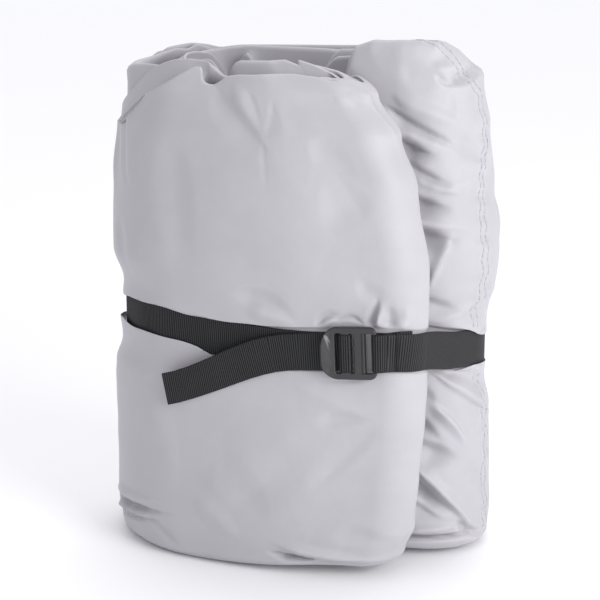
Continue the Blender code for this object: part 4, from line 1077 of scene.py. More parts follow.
class StageSettings(bpy.types.PropertyGroup):
    floor: FloatVectorProperty(
        name="Floor", description="The pale floor's colour",
        subtype="COLOR", size=4, min=0, max=1, default=linear("FAFAFB"),
    )
    azimuth: FloatProperty(
        name="Camera azimuth", description="How far round to the right the camera stands",
        default=radians(20), subtype="ANGLE", unit="ROTATION",
    )
    elevation: FloatProperty(
        name="Camera elevation", description="How far above the horizon the camera stands",
        default=radians(15), subtype="ANGLE", unit="ROTATION",
    )
    distance: FloatProperty(
        name="Camera distance", description="From the camera to the bundle's middle",
        default=1.3, min=0.5, unit="LENGTH",
    )


# ---------------------------------------------------------------- materials
def set_inputs(tree, node, values):
    """Sets inputs of a node, by name, each to a value or to another node's output."""
    for name, value in values.items():
        if isinstance(value, bpy.types.NodeSocket):
            tree.links.new(value, node.inputs[name])
        else:
            node.inputs[name].default_value = value


def add_node(tree, kind, inputs=None, **settings):
    """Adds a shader node of a kind with its settings and its inputs."""
    node = tree.nodes.new("ShaderNode" + kind)
    for name, value in settings.items():
        setattr(node, name, value)
    set_inputs(tree, node, inputs or {})
    return node


def new_material(name):
    """A material with its node tree and its shader."""
    material = bpy.data.materials.new(name)
    material.use_nodes = True
    return material, material.node_tree, material.node_tree.nodes["Principled BSDF"]


WAVE_SCALE = 1 / 3.18   # a wave texture's scale for bands one metre apart


def coated_polyester(settings):
    """Plain-woven polyester with a thin matt coating: an even grey with a faint weave, a little
    mottling where the coating is uneven, and a painted highlight: a slightly lighter line along
    sharp outward folds."""
    material, tree, shader = new_material("coated polyester, light grey")
    uv = add_node(tree, "UVMap", uv_map="cloth").outputs["UV"]
    # The real threads are about 0.4 mm apart, which wouldn't show, so they are drawn coarser.
    across, upward = (
        add_node(tree, "TexWave", {"Vector": uv, "Scale": WAVE_SCALE / settings.thread_spacing},
                 wave_type="BANDS", bands_direction=way, wave_profile="SIN").outputs["Fac"]
        for way in "XY")
    weave = add_node(tree, "Math", {0: across, 1: upward}, operation="MULTIPLY")
    mottle = add_node(tree, "TexNoise",
                      {"Vector": uv, "Scale": 28.0, "Detail": 5.0, "Roughness": 0.6})
    grain = add_node(tree, "TexNoise", {"Vector": uv, "Scale": 420.0, "Detail": 2.0})
    tone = add_node(tree, "MapRange",
                    {"Value": mottle.outputs["Fac"], "From Min": 0.3, "From Max": 0.7,
                     "To Min": 0.955, "To Max": 1.035})
    fine = add_node(tree, "MapRange",
                    {"Value": weave.outputs[0], "To Min": 0.985, "To Max": 1.01})
    shade = add_node(tree, "Math", {0: tone.outputs["Result"], 1: fine.outputs["Result"]},
                     operation="MULTIPLY")
    # painted highlight: the colour is lightened by up to a twentieth along sharp outward folds
    painted_fold_highlight = add_node(tree, "Attribute", attribute_name="painted_fold_highlight")
    lit = add_node(tree, "Math", {0: painted_fold_highlight.outputs["Fac"], 1: 0.05, 2: shade.outputs[0]},
                   operation="MULTIPLY_ADD")
    colour = add_node(tree, "VectorMath", {0: settings.colour[:3], "Scale": lit.outputs[0]},
                      operation="SCALE")
    rough = add_node(tree, "MapRange",
                     {"Value": mottle.outputs["Fac"], "From Min": 0.3, "From Max": 0.7,
                      "To Min": 0.46, "To Max": 0.58})
    height = add_node(tree, "Math", {0: grain.outputs["Fac"], 1: 0.8, 2: weave.outputs[0]},
                      operation="MULTIPLY_ADD")
    bump = add_node(tree, "Bump",
                    {"Height": height.outputs[0], "Strength": 0.10, "Distance": 0.0002})
    set_inputs(tree, shader, {
        "Base Color": colour.outputs["Vector"], "Roughness": rough.outputs["Result"],
        "Normal": bump.outputs["Normal"], "Sheen Weight": 0.12, "Sheen Roughness": 0.5,
        "Specular IOR Level": 0.45,
    })
    return material


YARN_SPACING = 0.0008   # the spacing of the webbing's diagonal yarns


def woven_webbing(name, settings):
    """Woven polypropylene: near black, with painted shade between its ribs, and painted light and a
    little more shine on their crowns.
    """
    material, tree, shader = new_material(name)
    uv = add_node(tree, "UVMap", uv_map="cloth").outputs["UV"]
    # The warp's yarns lie close together across the webbing and lean from rib to rib.
    yarns = add_node(tree, "TexWave",
                     {"Vector": uv, "Scale": WAVE_SCALE / YARN_SPACING, "Distortion": 1.5,
                      "Detail": 1.0, "Detail Scale": 300.0},
                     wave_type="BANDS", bands_direction="DIAGONAL", wave_profile="SIN")
    fibres = add_node(tree, "TexNoise", {"Vector": uv, "Scale": 900.0, "Detail": 3.0})
    patches = add_node(tree, "TexNoise", {"Vector": uv, "Scale": 45.0, "Detail": 3.0})
    height = add_node(tree, "Math", {0: fibres.outputs["Fac"], 1: 0.7, 2: yarns.outputs["Fac"]},
                      operation="MULTIPLY_ADD")
    tone = add_node(tree, "MapRange",
                    {"Value": height.outputs[0], "From Min": 0.3, "From Max": 1.4,
                     "To Min": 0.75, "To Max": 1.3})
    broad = add_node(tree, "MapRange",
                     {"Value": patches.outputs["Fac"], "From Min": 0.3, "From Max": 0.7,
                      "To Min": 0.88, "To Max": 1.12})
    uneven = add_node(tree, "Math", {0: tone.outputs["Result"], 1: broad.outputs["Result"]},
                      operation="MULTIPLY")
    ribs = add_node(tree, "TexWave", {"Vector": uv, "Scale": WAVE_SCALE / settings.rib_spacing},
                    wave_type="BANDS", bands_direction="X", wave_profile="SIN").outputs["Fac"]
    # painted light and shade: the colour runs from about a third of itself between the ribs to half
    # as much again on their crowns
    painted_rib_shading = add_node(tree, "MapRange", {"Value": ribs, "To Min": 0.30, "To Max": 1.45})
    shine = add_node(tree, "MapRange", {"Value": ribs, "To Min": 0.08, "To Max": 0.44})
    shade = add_node(tree, "Math", {0: uneven.outputs[0], 1: painted_rib_shading.outputs["Result"]},
                     operation="MULTIPLY")
    colour = add_node(tree, "VectorMath", {0: settings.colour[:3], "Scale": shade.outputs[0]},
                      operation="SCALE")
    bump = add_node(tree, "Bump",
                    {"Height": height.outputs[0], "Strength": 0.5, "Distance": 0.0002})
    set_inputs(tree, shader, {
        "Base Color": colour.outputs["Vector"], "Normal": bump.outputs["Normal"],
        "Specular IOR Level": shine.outputs["Result"], "Roughness": 0.56, "Sheen Weight": 0.025,
        "Sheen Roughness": 0.4,
    })
    return material


def moulded_acetal(settings):
    """Injection-moulded acetal: black, satin, with the mould's fine spark-eroded grain."""
    material, tree, shader = new_material("moulded acetal, black")
    place = add_node(tree, "TexCoord").outputs["Object"]
    grain = add_node(tree, "TexNoise", {"Vector": place, "Scale": 2500.0, "Detail": 2.0})
    flow = add_node(tree, "TexNoise", {"Vector": place, "Scale": 120.0, "Detail": 3.0})
    rough = add_node(tree, "MapRange",
                     {"Value": flow.outputs["Fac"], "From Min": 0.3, "From Max": 0.7,
                      "To Min": 0.28, "To Max": 0.38})
    tone = add_node(tree, "MapRange",
                    {"Value": flow.outputs["Fac"], "From Min": 0.3, "From Max": 0.7,
                     "To Min": 0.9, "To Max": 1.1})
    colour = add_node(tree, "VectorMath",
                      {0: settings.colour[:3], "Scale": tone.outputs["Result"]}, operation="SCALE")
    bump = add_node(tree, "Bump",
                    {"Height": grain.outputs["Fac"], "Strength": 0.15, "Distance": 0.0001})
    set_inputs(tree, shader, {
        "Base Color": colour.outputs["Vector"], "Roughness": rough.outputs["Result"],
        "Normal": bump.outputs["Normal"], "IOR": 1.48, "Specular IOR Level": 0.65,
    })
    return material


def spun_thread(name, colour):
    """Twisted polyester sewing thread, with a dull shine and its twist drawn across it."""
    material, tree, shader = new_material(name)
    place = add_node(tree, "TexCoord").outputs["Object"]
    twist = add_node(tree, "TexNoise", {"Vector": place, "Scale": 1600.0, "Detail": 2.0})
    tone = add_node(tree, "MapRange",
                    {"Value": twist.outputs["Fac"], "From Min": 0.3, "From Max": 0.7,
                     "To Min": 0.75, "To Max": 1.2})
    shade = add_node(tree, "VectorMath",
                     {0: linear(colour)[:3], "Scale": tone.outputs["Result"]}, operation="SCALE")
    set_inputs(tree, shader, {
        "Base Color": shade.outputs["Vector"], "Roughness": 0.6,
    })
    return material


# ---------------------------------------------------------------- pieces
def settings_of(context):
    """The scene's settings for the cover, the strap, the buckle and the stage."""
    scene = context.scene
    return scene.boat_cover, scene.cover_strap, scene.cover_buckle, scene.cover_stage


class COVER_OT_cloth(bpy.types.Operator):
    """Winds the folded cloth, with its folds, tucks and seam band"""

    bl_idname = "boat_cover.cloth"
    bl_label = "Cloth"

    def execute(self, context):
        settings = settings_of(context)[0]
        strip = Strip()
        places, flat = cover_places(strip, settings)
        mesh = grid_mesh(places, flat, closed=True, thin=hidden_edges(strip))
        cloth = finished("cover_cloth", mesh, coated_polyester(settings), ["cover"])
        mark_painted_fold_highlights(cloth)
        return {"FINISHED"}


FOOT_POINTS = FOOT_TURNS.size   # points round the pack's lower outer edge
UNSEEN = (0.955, 1.165)  # the back lies between these distances along the strip,
SEEN_TO = 1.330         # and past this one its outer face is tucked in


def hidden_edges(strip):
    """Says which long edges of the cloth's grid can go, where its face is hidden."""
    first = FOOT_POINTS + 1
    last = FOOT_POINTS + FACE_LEVELS - 2
    inner = strip.along[strip.fold] - OUTER_FROM

    def spare(column, row):
        if not first <= column <= last:
            return False
        along = strip.along[min(max(row - 1, 0), len(strip.along) - 1)]
        if along < inner or along > SEEN_TO:
            return bool((column - first) % HIDDEN_LEVELS)
        if UNSEEN[0] < along < UNSEEN[1]:
            return bool((column - first) % UNSEEN_LEVELS)
        return False

    return spare


HIGHLIGHT_FROM = 90.0        # in radians a metre: a fold that bends less gets no painted highlight, and one that bends by this much more gets all of it
HIGHLIGHT_OVER = 300.0       # and one that bends by this much more is wholly so


def mark_painted_fold_highlights(piece):
    """Stores how sharply each place bends outwards, so that the material can paint a highlight along
    sharp folds.
    """
    mesh = bmesh.new()
    mesh.from_mesh(piece.data)
    # how much painted highlight each place gets, from how sharply it bends outwards
    painted_fold_highlight = []
    for vert in mesh.verts:
        bends = [edge.calc_face_angle_signed(0.0) / max(edge.calc_length(), 1e-5)
                 for edge in vert.link_edges]
        painted_fold_highlight.append(min(max((max(bends, default=0.0) - HIGHLIGHT_FROM) / HIGHLIGHT_OVER, 0.0), 1.0))
    mesh.free()
    attribute = piece.data.attributes.new("painted_fold_highlight", "FLOAT", "POINT")
    attribute.data.foreach_set("value", painted_fold_highlight)


STITCH = 0.0042         # the length of a stitch and the hole beside it,
STITCH_LONG = 0.49      # the half length of the stitch as a share of that,
THREAD_RADIUS = 0.00027     # and its thread's radius
STITCH_SUNK = 0.35      # a stitch's middle stands this share of that off the cloth
SEAM_STEP = 0.0005      # the seam's line is walked in steps of this length
SEAM_CLEAR = 0.016      # no stitch is this close to the strap's middle or closer


class COVER_OT_seam(bpy.types.Operator):
    """Sews the double line of stitches down the right lobe"""

    bl_idname = "boat_cover.seam"
    bl_label = "Seam stitches"

    def execute(self, context):
        settings = settings_of(context)[0]
        strip = Strip()
        cloth = bpy.data.objects["cover_cloth"]
        tree = BVHTree.FromObject(cloth, context.evaluated_depsgraph_get())
        mesh = bmesh.new()
        seam, walked = evenly(SEAM, SEAM_STEP)
        step = np.gradient(seam, axis=0)
        step /= np.linalg.norm(step, axis=1)[:, None]
        for side in (-1, 1):
            line = seam + side * SEAM_HALF * np.column_stack((-step[:, 1], step[:, 0]))
            here = skin(strip, line[:, 0], line[:, 1], settings)
            ahead = np.gradient(here, axis=0)
            at = 0.5 * STITCH
            while at < walked[-1] - STITCH:
                i = int(np.searchsorted(walked, at))
                if abs(here[i][2] - strap_height(*(here[i] - CENTRED)[:2])) > SEAM_CLEAR:
                    place, out, _, _ = tree.find_nearest(Vector(here[i]))
                    sew(mesh, place, Vector(ahead[i]), out, STITCH * STITCH_LONG, THREAD_RADIUS)
                at += STITCH
        thread = spun_thread("polyester thread, grey", "A9A8AF")
        finished("seam_stitches", mesh, thread)
        return {"FINISHED"}


def sew(mesh, place, way, out, half_long, radius):
    """One stitch lying at a place on the cloth."""
    side = out.cross(way).normalized()
    way, out = side.cross(out).normalized(), out.normalized()
    turn = Matrix((way * half_long, side * radius, out * radius)).transposed().to_4x4()
    matrix = Matrix.Translation(place + out * radius * STITCH_SUNK) @ turn
    bmesh.ops.create_icosphere(mesh, subdivisions=1, radius=1.0, matrix=matrix)


class COVER_OT_strap(bpy.types.Operator):
    """Threads the ribbed webbing round the bundle and through the buckle"""

    bl_idname = "boat_cover.strap"
    bl_label = "Strap"

    def execute(self, context):
        settings = settings_of(context)[1]
        line = Line(tight_line(Strip()), BUCKLE_X)
        threads, walked = evenly(strap_threads(line), STRAP_STEP)
        places, flat = webbing_places(line, threads, walked, settings)
        strap = finished("strap_webbing", grid_mesh(places, flat, closed=True),
                         woven_webbing("woven polypropylene, black", settings), ["strap"])
        return {"FINISHED"}


# The webbing's section, from its lower edge up its outer face and down its inner one: places
# across its width and through its thickness, as shares of the half sizes.
WEBBING_SECTION = (
    (-1.000, 0.30), (-0.975, 0.85), (-0.90, 1.0), (-0.60, 1.0), (-0.30, 1.0), (0.0, 1.0), (0.30, 1.0),
    (0.60, 1.0), (0.90, 1.0), (0.975, 0.85), (1.000, 0.30), (1.000, -0.30), (0.975, -0.85),
    (0.90, -1.0), (0.30, -1.0), (-0.30, -1.0), (-0.90, -1.0), (-0.975, -0.85), (-1.000, -0.30),
)
SLOPE_STEP = 0.004      # the strap's slope is read this far to each side
LEVEL_WAY = 0.2         # and only where it runs more along the cloth than off it, by this share
RIB_MIDDLE = 0.75       # the ribs swell about this share of their height
EDGE_FROM = 0.95        # past this share of its half width the webbing's edge begins,
EDGE_RIBS = 1.5         # whose ribs stand out this much more


def webbing_places(line, threads, walked, settings):
    """The webbing's skin as rows of places, with its flat map in metres."""
    along, off, drop = threads.T
    ahead, behind = (line.place(along + step, 0 * along) for step in (SLOPE_STEP, -SLOPE_STEP))
    slope = (strap_height(*ahead.T) - strap_height(*behind.T)) / (2 * SLOPE_STEP)
    step = np.gradient(threads, axis=0)
    size = np.hypot(step[:, 0], step[:, 1])
    flat_way = np.abs(step[:, 0]) > LEVEL_WAY * size
    slope = slope - np.where(flat_way, step[:, 2] / np.where(flat_way, step[:, 0], 1), 0)
    free = smooth(1 - (walked[-1] - walked) / TAIL_FREE)
    slope *= 1 - TAIL_SHEAR * free
    half_along, half_off = -step[:, 1] / size, step[:, 0] / size
    rib = np.abs(np.sin(pi * walked / settings.rib_spacing))
    swell = settings.rib_height * (rib - RIB_MIDDLE)
    made = []
    for across, through in WEBBING_SECTION:
        edge = abs(across) > EDGE_FROM
        reach = across * (settings.width / 2 + EDGE_RIBS * swell * edge) / np.hypot(1, slope)
        reach = reach / np.hypot(1, TAIL_LEAN * free)
        depth = through * STRAP_THICK / 2 + np.sign(through) * swell * (not edge)
        at = along + depth * half_along
        spot = line.place(at - reach * slope, off + depth * half_off + reach * TAIL_LEAN * free)
        middle = line.place(at, 0 * at)
        made.append(np.column_stack((spot, strap_height(*middle.T) - drop + reach)))
    places = np.stack(made, axis=1) + CENTRED
    steps = np.linalg.norm(np.diff(places[0], axis=0, append=places[0][:1]), axis=1)
    around = np.concatenate(([0.0], np.cumsum(steps)))
    shape = (len(walked), len(around))
    flat = np.stack((np.broadcast_to(walked[:, None], shape), np.broadcast_to(around, shape)),
                    axis=-1)
    return places, flat


class COVER_OT_buckle(bpy.types.Operator):
    """Moulds the ladder-lock buckle, with its thumb tab and its low bars"""

    bl_idname = "boat_cover.buckle"
    bl_label = "Buckle"

    def execute(self, context):
        settings = settings_of(context)[2]
        data = buckle_mesh(settings)
        for piece in buckle_cutters():
            cut(data, piece)
        mesh = bmesh.new()
        mesh.from_mesh(data)
        bpy.data.meshes.remove(data)
        bmesh.ops.transform(mesh, matrix=buckle_place(), verts=mesh.verts)
        buckle = finished("buckle_frame", mesh, moulded_acetal(settings),
                          ["buckle"])
        buckle.data.set_sharp_from_angle(angle=SHARP_FROM)
        return {"FINISHED"}


def oval_corner_box(left, right, half_tall, left_radii, right_radius, count):
    """An outline in the buckle's plane; its left corners may be elliptical."""
    corners = (
        ((right - right_radius, half_tall - right_radius), (right_radius, right_radius), 0),
        ((left + left_radii[0], half_tall - left_radii[1]), left_radii, 90),
        ((left + left_radii[0], left_radii[1] - half_tall), left_radii, 180),
        ((right - right_radius, right_radius - half_tall), (right_radius, right_radius), 270),
    )
    made = []
    for centre, radii, start in corners:
        for i in range(count + 1):
            turn = radians(start + 90 * i / count)
            made.append((centre[0] + radii[0] * cos(turn), centre[1] + radii[1] * sin(turn)))
    return made


# The openings along the buckle, from the tab to its sewn end: left end, right end and height.
SLOTS = ((TAB_EDGE, -0.0069, 0.0268), (-0.0020, 0.0015, 0.0264), (0.0091, 0.0138, 0.0266))
# The two bars that webbing goes round, whose faces are lower than the frame's.
LOW_BARS = ((-0.0075, -0.0014, 0.0258), (0.0130, 0.0210, 0.0258))

# The thumb facet's edge curves back from the tab's first opening: how far at the tab's corners,
# and over how much it steps down to them.
FACET_FROM = -0.0119
FACET_CURVE = 0.0050
FACET_STEP = 0.0004
FACET_DOME = 0.0007     # how much lower the facet's face lies at its ends
# The plain bar's profile, from its flat face to the edge that catches the light: how far each
# place along it lies below the face.
BAR_EDGE = ((0.0062, 0.0), (0.0067, 0.0006), (0.0071, 0.0006), (0.0074, 0.0001), (0.0091, 0.0016))
BAR_END = 0.0095        # that profile goes no further than this along the buckle,
BAR_HALF = 0.0134       # and this far to each side of its middle
CORNER_POINTS = (14, 5)     # steps round a corner of the frame and of an opening
FACET_CUTS = 17         # places across the tab where its facet's edge is cut
FACET_KEEPS = 0.8       # the facet stands out at most this share of the tab's rise there
CUTTER_TALL = 0.01      # how far a cutter reaches over the bar that it lowers,
CUTTER_ROUND = 0.0004   # and the rounding of its edges


def buckle_mesh(settings):
    """The buckle's plate in its own axes, with rounded edges, its tab bent up and faceted."""
    outlines = [oval_corner_box(BUCKLE_LEFT, BUCKLE_RIGHT, BUCKLE_TALL / 2, TAB_RADII, END_RADIUS,
                                CORNER_POINTS[0])]
    for left, right, tall in SLOTS:
        radii = (SLOT_RADIUS, SLOT_RADIUS)
        outlines.append(oval_corner_box(left, right, tall / 2, radii, SLOT_RADIUS, CORNER_POINTS[1]))
    curve = bpy.data.curves.new("buckle outline", "CURVE")
    curve.dimensions = "2D"
    curve.fill_mode = "BOTH"
    curve.extrude = BUCKLE_THICK / 2 - EDGE_ROUND
    curve.bevel_depth = EDGE_ROUND
    curve.bevel_resolution = EDGE_STEPS
    curve.offset = -EDGE_ROUND
    for outline in outlines:
        spline = curve.splines.new("POLY")
        spline.points.add(len(outline) - 1)
        for point, (x, y) in zip(spline.points, outline):
            point.co = (x, y, 0, 1)
        spline.use_cyclic_u = True
    thing = bpy.data.objects.new("buckle outline", curve)
    bpy.context.scene.collection.objects.link(thing)
    data = bpy.data.meshes.new_from_object(thing.evaluated_get(bpy.context.evaluated_depsgraph_get()))
    bpy.data.objects.remove(thing, do_unlink=True)
    mesh = bmesh.new()
    mesh.from_mesh(data)
    bmesh.ops.remove_doubles(mesh, verts=mesh.verts, dist=1e-5)
    slice_at(mesh, (TAB_EDGE, 0, 0), (1, 0, 0))
    for x, _ in BAR_EDGE[:-1]:
        slice_at(mesh, (x, 0, 0), (1, 0, 0))
    corners = np.linspace(-1, 1, FACET_CUTS)
    for shift in (0, FACET_STEP):
        for a, b in zip(corners, corners[1:]):
            x, y = facet_edge(a) - shift, a * TAB_RADII[1]
            onward = Vector((facet_edge(b) - shift - x, (b - a) * TAB_RADII[1], 0))
            slice_at(mesh, (x, y, 0), (onward.y, -onward.x, 0))
    for vert in mesh.verts:
        shape_tab(vert, settings)
    bmesh.ops.recalc_face_normals(mesh, faces=mesh.faces)
    mesh.to_mesh(data)
    mesh.free()
    return data


def slice_at(mesh, place, way):
    """Cuts the mesh's faces along a plane, so that they can be shaped there."""
    geometry = [*mesh.verts, *mesh.edges, *mesh.faces]
    bmesh.ops.bisect_plane(mesh, geom=geometry, dist=1e-6, plane_co=place, plane_no=way)


def facet_edge(share):
    """Where the thumb facet's edge lies along the buckle, at a share of the tab's half height."""
    return FACET_FROM - FACET_CURVE * share ** 2


def shape_tab(vert, settings):
    """Bends the tab up, leaves its thumb facet standing and shapes the plain bar's far edge."""
    x, y, z = vert.co
    if x < TAB_EDGE:
        vert.co.z += (TAB_EDGE - x) * tan(TAB_TILT)
        if z > 0:
            past = x - facet_edge(max(-1.2, min(1.2, y / TAB_RADII[1]))) + FACET_STEP
            low = min(max(past / FACET_STEP, 0.0), 1.0)
            vert.co.z -= low * min(settings.facet, (TAB_EDGE - x) * tan(TAB_TILT) * FACET_KEEPS)
            vert.co.z -= (1 - low) * FACET_DOME * (y / TAB_RADII[1]) ** 2
    elif BAR_EDGE[0][0] < x < BAR_END and abs(y) < BAR_HALF and z > 0:
        vert.co.z -= float(np.interp(x, *zip(*BAR_EDGE)))


def buckle_cutters():
    """Boxes that lower the faces of the bars that webbing goes round."""
    made = []
    for left, right, tall in LOW_BARS:
        mesh = bmesh.new()
        bmesh.ops.create_cube(mesh, size=1)
        size = Vector((right - left, tall, CUTTER_TALL))
        middle = Vector(((right + left) / 2, 0, BUCKLE_THICK / 2 - LOW_BAR + size.z / 2))
        bmesh.ops.scale(mesh, vec=size, verts=mesh.verts)
        bmesh.ops.translate(mesh, vec=middle, verts=mesh.verts)
        bmesh.ops.bevel(mesh, geom=mesh.edges, offset=CUTTER_ROUND, affect="EDGES", segments=3,
                        profile=0.5, material=-1)
        data = bpy.data.meshes.new("low bar cutter")
        mesh.to_mesh(data)
        mesh.free()
        made.append(data)
    return made


def cut(data, cutter_data):
    """Cuts one mesh out of another, in place."""
    body, cutter = bpy.data.objects.new("cut body", data), bpy.data.objects.new("cutter", cutter_data)
    for thing in (body, cutter):
        bpy.context.scene.collection.objects.link(thing)
    modifier = body.modifiers.new("cut", "BOOLEAN")
    modifier.operation, modifier.solver, modifier.object = "DIFFERENCE", "EXACT", cutter
    graph = bpy.context.evaluated_depsgraph_get()
    made = bpy.data.meshes.new_from_object(body.evaluated_get(graph))
    mesh = bmesh.new()
    mesh.from_mesh(made)
    mesh.to_mesh(data)
    mesh.free()
    for thing in (body, cutter):
        bpy.data.objects.remove(thing, do_unlink=True)
    bpy.data.meshes.remove(made)
    bpy.data.meshes.remove(cutter_data)


def buckle_place():
    """Where the buckle's own axes lie in the model's frame."""
    line = Line(tight_line(Strip()), BUCKLE_X)
    reach = FLAT_BEHIND / 2
    ahead, behind, middle = line.place(reach, 0), line.place(-reach, 0), line.place(0, 0)
    x, y = line.place(0, BUCKLE_BACK + BUCKLE_THICK / 2)
    way = Vector((*(ahead - behind), float(strap_height(*ahead) - strap_height(*behind))))
    way.normalize()
    out = Vector((way.y, -way.x, 0)).normalized()
    spot = Matrix((way, out.cross(way), out)).transposed().to_4x4()
    spot.translation = Vector((x, y, strap_height(*middle))) + Vector(CENTRED)
    return spot


TACK_ALONG = 0.0282     # the bar tack's place, right of the buckle's middle,
TACK_LIFT = 0.0006      # and above the webbing's middle,
TACK_HALF = 0.0014      # half the breadth of its zigzag,
TACK_ROWS = 21          # its rows of stitches,
TACK_PITCH = 0.0012     # their spacing,
TACK_LONG = 1.15        # their half length as a share of that half breadth,
TACK_RADIUS = 0.00030   # and their thread's radius


class COVER_OT_tacks(bpy.types.Operator):
    """Sews the strap's bar tack beside the buckle"""

    bl_idname = "boat_cover.tacks"
    bl_label = "Bar tack"

    def execute(self, context):
        width = settings_of(context)[1].width
        line = Line(tight_line(Strip()), BUCKLE_X)
        mesh = bmesh.new()
        for i in range(TACK_ROWS):
            reach = (i / (TACK_ROWS - 1) - 0.5) * width + TACK_LIFT
            for sway in (-1, 1):
                place = tack_place(line, TACK_ALONG - sway * TACK_HALF, reach - TACK_PITCH / 2)
                beyond = tack_place(line, TACK_ALONG + sway * TACK_HALF, reach + TACK_PITCH / 2)
                out = (beyond - place).cross(Vector((0, 0, 1)))
                out *= 1 if out.y < 0 else -1
                sew(mesh, (place + beyond) / 2, beyond - place, out,
                    TACK_LONG * TACK_HALF, TACK_RADIUS)
        finished("bar_tack", mesh, spun_thread("polyester thread, black", "0E0E10"))
        return {"FINISHED"}


def tack_place(line, along, reach):
    """A place on the webbing's outer face, beside the buckle."""
    off = np.interp(along, *np.array(SEWN_OVER).T[:2])
    x, y = line.place(along, off + STRAP_THICK / 2)
    middle = line.place(along, 0)
    return Vector((float(x), float(y), float(strap_height(*middle)) + reach)) + Vector(CENTRED)


# ---------------------------------------------------------------- the stage
FLOOR_HALF = 12.0       # half the floor's side
BACKDROP = "FBFBFF"     # the pale surroundings' colour
BACKDROP_LIGHT = 0.72   # and their strength


class COVER_OT_stage(bpy.types.Operator):
    """Lays the pale floor, and sets the studio's lights and the camera"""

    bl_idname = "boat_cover.stage"
    bl_label = "Floor, lights and camera"

    def execute(self, context):
        settings = settings_of(context)[3]
        scene = context.scene
        mesh = bmesh.new()
        bmesh.ops.create_grid(mesh, x_segments=1, y_segments=1, size=FLOOR_HALF)
        data = bpy.data.meshes.new("floor")
        mesh.to_mesh(data)
        mesh.free()
        floor = bpy.data.objects.new("floor", data)
        scene.collection.objects.link(floor)
        data.materials.append(painted_floor(settings))
        studio_lights(scene)
        scene.view_settings.view_transform = "Standard"
        scene.camera = studio_camera(scene, settings)
        return {"FINISHED"}


def painted_floor(settings):
    """Matt white paint, a little uneven, as on a studio's floor."""
    material, tree, shader = new_material("matt white paint")
    place = add_node(tree, "TexCoord").outputs["Object"]
    uneven = add_node(tree, "TexNoise", {"Vector": place, "Scale": 3.0, "Detail": 3.0})
    tone = add_node(tree, "MapRange",
                    {"Value": uneven.outputs["Fac"], "To Min": 0.985, "To Max": 1.0})
    colour = add_node(tree, "VectorMath",
                      {0: settings.floor[:3], "Scale": tone.outputs["Result"]}, operation="SCALE")
    set_inputs(tree, shader, {
        "Base Color": colour.outputs["Vector"], "Roughness": 0.9, "Specular IOR Level": 0.1,
    })
    return material


# The soft key light: its place, size, power in watts and the place that it faces.
KEY_FROM = Vector((1.25, -0.62, 0.62))
KEY_SIZE = 0.8
KEY_POWER = 15.0
KEY_AIM = Vector((0.0, 0.0, 0.17))

# The wide overhead light that keeps the floor evenly white: its direction, strength and spread.
OVERHEAD_FROM = Vector((-0.25, 0.80, 1.30))
OVERHEAD = 1.15
OVERHEAD_SPREAD = radians(60)


def studio_lights(scene):
    """A soft key light at the right, a wide overhead light and pale surroundings."""
    key = bpy.data.lights.new("key", "AREA")
    key.size, key.energy = KEY_SIZE, KEY_POWER
    overhead = bpy.data.lights.new("overhead", "SUN")
    overhead.energy, overhead.angle = OVERHEAD, OVERHEAD_SPREAD
    places = ((key, KEY_FROM, KEY_FROM - KEY_AIM), (overhead, Vector(), OVERHEAD_FROM))
    for light, place, way in places:
        thing = bpy.data.objects.new(light.name, light)
        scene.collection.objects.link(thing)
        thing.location = place
        thing.rotation_euler = way.to_track_quat("Z", "Y").to_euler()
    world = bpy.data.worlds.new("studio")
    world.use_nodes = True
    backdrop = world.node_tree.nodes["Background"]
    backdrop.inputs["Color"].default_value = linear(BACKDROP)
    backdrop.inputs["Strength"].default_value = BACKDROP_LIGHT
    scene.world = world


CAMERA_AIM = Vector((0.0, 0.0, 0.1725))
LENS = 112.2            # in millimetres,
SENSOR = 36.0           # on a sensor this wide
FRAME_PIXELS = 600
AIM_PIXEL = (298, 299)  # where the photograph shows the point that the camera aims at


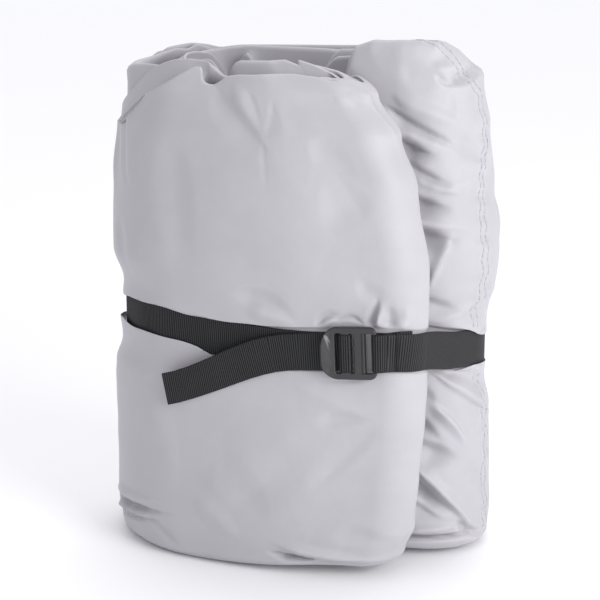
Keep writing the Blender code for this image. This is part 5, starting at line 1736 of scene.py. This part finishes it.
def studio_camera(scene, settings):
    """The camera, where the photograph was taken from."""
    data = bpy.data.cameras.new("camera")
    data.lens, data.sensor_width = LENS, SENSOR
    data.shift_x = (FRAME_PIXELS / 2 - AIM_PIXEL[0]) / FRAME_PIXELS
    data.shift_y = (AIM_PIXEL[1] - FRAME_PIXELS / 2) / FRAME_PIXELS
    camera = bpy.data.objects.new("camera", data)
    scene.collection.objects.link(camera)
    a, e = settings.azimuth, settings.elevation
    back = Vector((sin(a) * cos(e), -cos(a) * cos(e), sin(e)))
    camera.location = CAMERA_AIM + back * settings.distance
    camera.rotation_euler = back.to_track_quat("Z", "Y").to_euler()
    return camera


# ---------------------------------------------------------------- the panel and registration
class COVER_PT_panel(bpy.types.Panel):
    """Lists the boat cover's settings and the pieces to build"""

    bl_idname = "COVER_PT_panel"
    bl_label = "Strapped boat cover"
    bl_space_type = "VIEW_3D"
    bl_region_type = "UI"
    bl_category = "Boat cover"

    def draw(self, context):
        for group in settings_of(context):
            box = self.layout.box()
            for name in group.bl_rna.properties.keys():
                if name not in ("rna_type", "name"):
                    box.prop(group, name)
        for piece in PIECES:
            self.layout.operator(piece.bl_idname)


PIECES = (
    COVER_OT_stage, COVER_OT_cloth, COVER_OT_seam, COVER_OT_strap, COVER_OT_tacks, COVER_OT_buckle,
)
SETTINGS = {
    "boat_cover": CoverSettings,
    "cover_strap": StrapSettings,
    "cover_buckle": BuckleSettings,
    "cover_stage": StageSettings,
}


def register():
    """Adds the settings, the operators and the panel."""
    for kind in (*SETTINGS.values(), *PIECES, COVER_PT_panel):
        bpy.utils.register_class(kind)
    for name, kind in SETTINGS.items():
        setattr(bpy.types.Scene, name, PointerProperty(type=kind))


def unregister():
    """Takes them away again."""
    for name in SETTINGS:
        delattr(bpy.types.Scene, name)
    for kind in (COVER_PT_panel, *reversed(PIECES), *reversed(SETTINGS.values())):
        bpy.utils.unregister_class(kind)


def main():
    """Builds every piece and the stage."""
    register()
    bpy.ops.boat_cover.stage()
    bpy.ops.boat_cover.cloth()
    bpy.ops.boat_cover.seam()
    bpy.ops.boat_cover.strap()
    bpy.ops.boat_cover.tacks()
    bpy.ops.boat_cover.buckle()


if __name__ == "__main__":
    main()
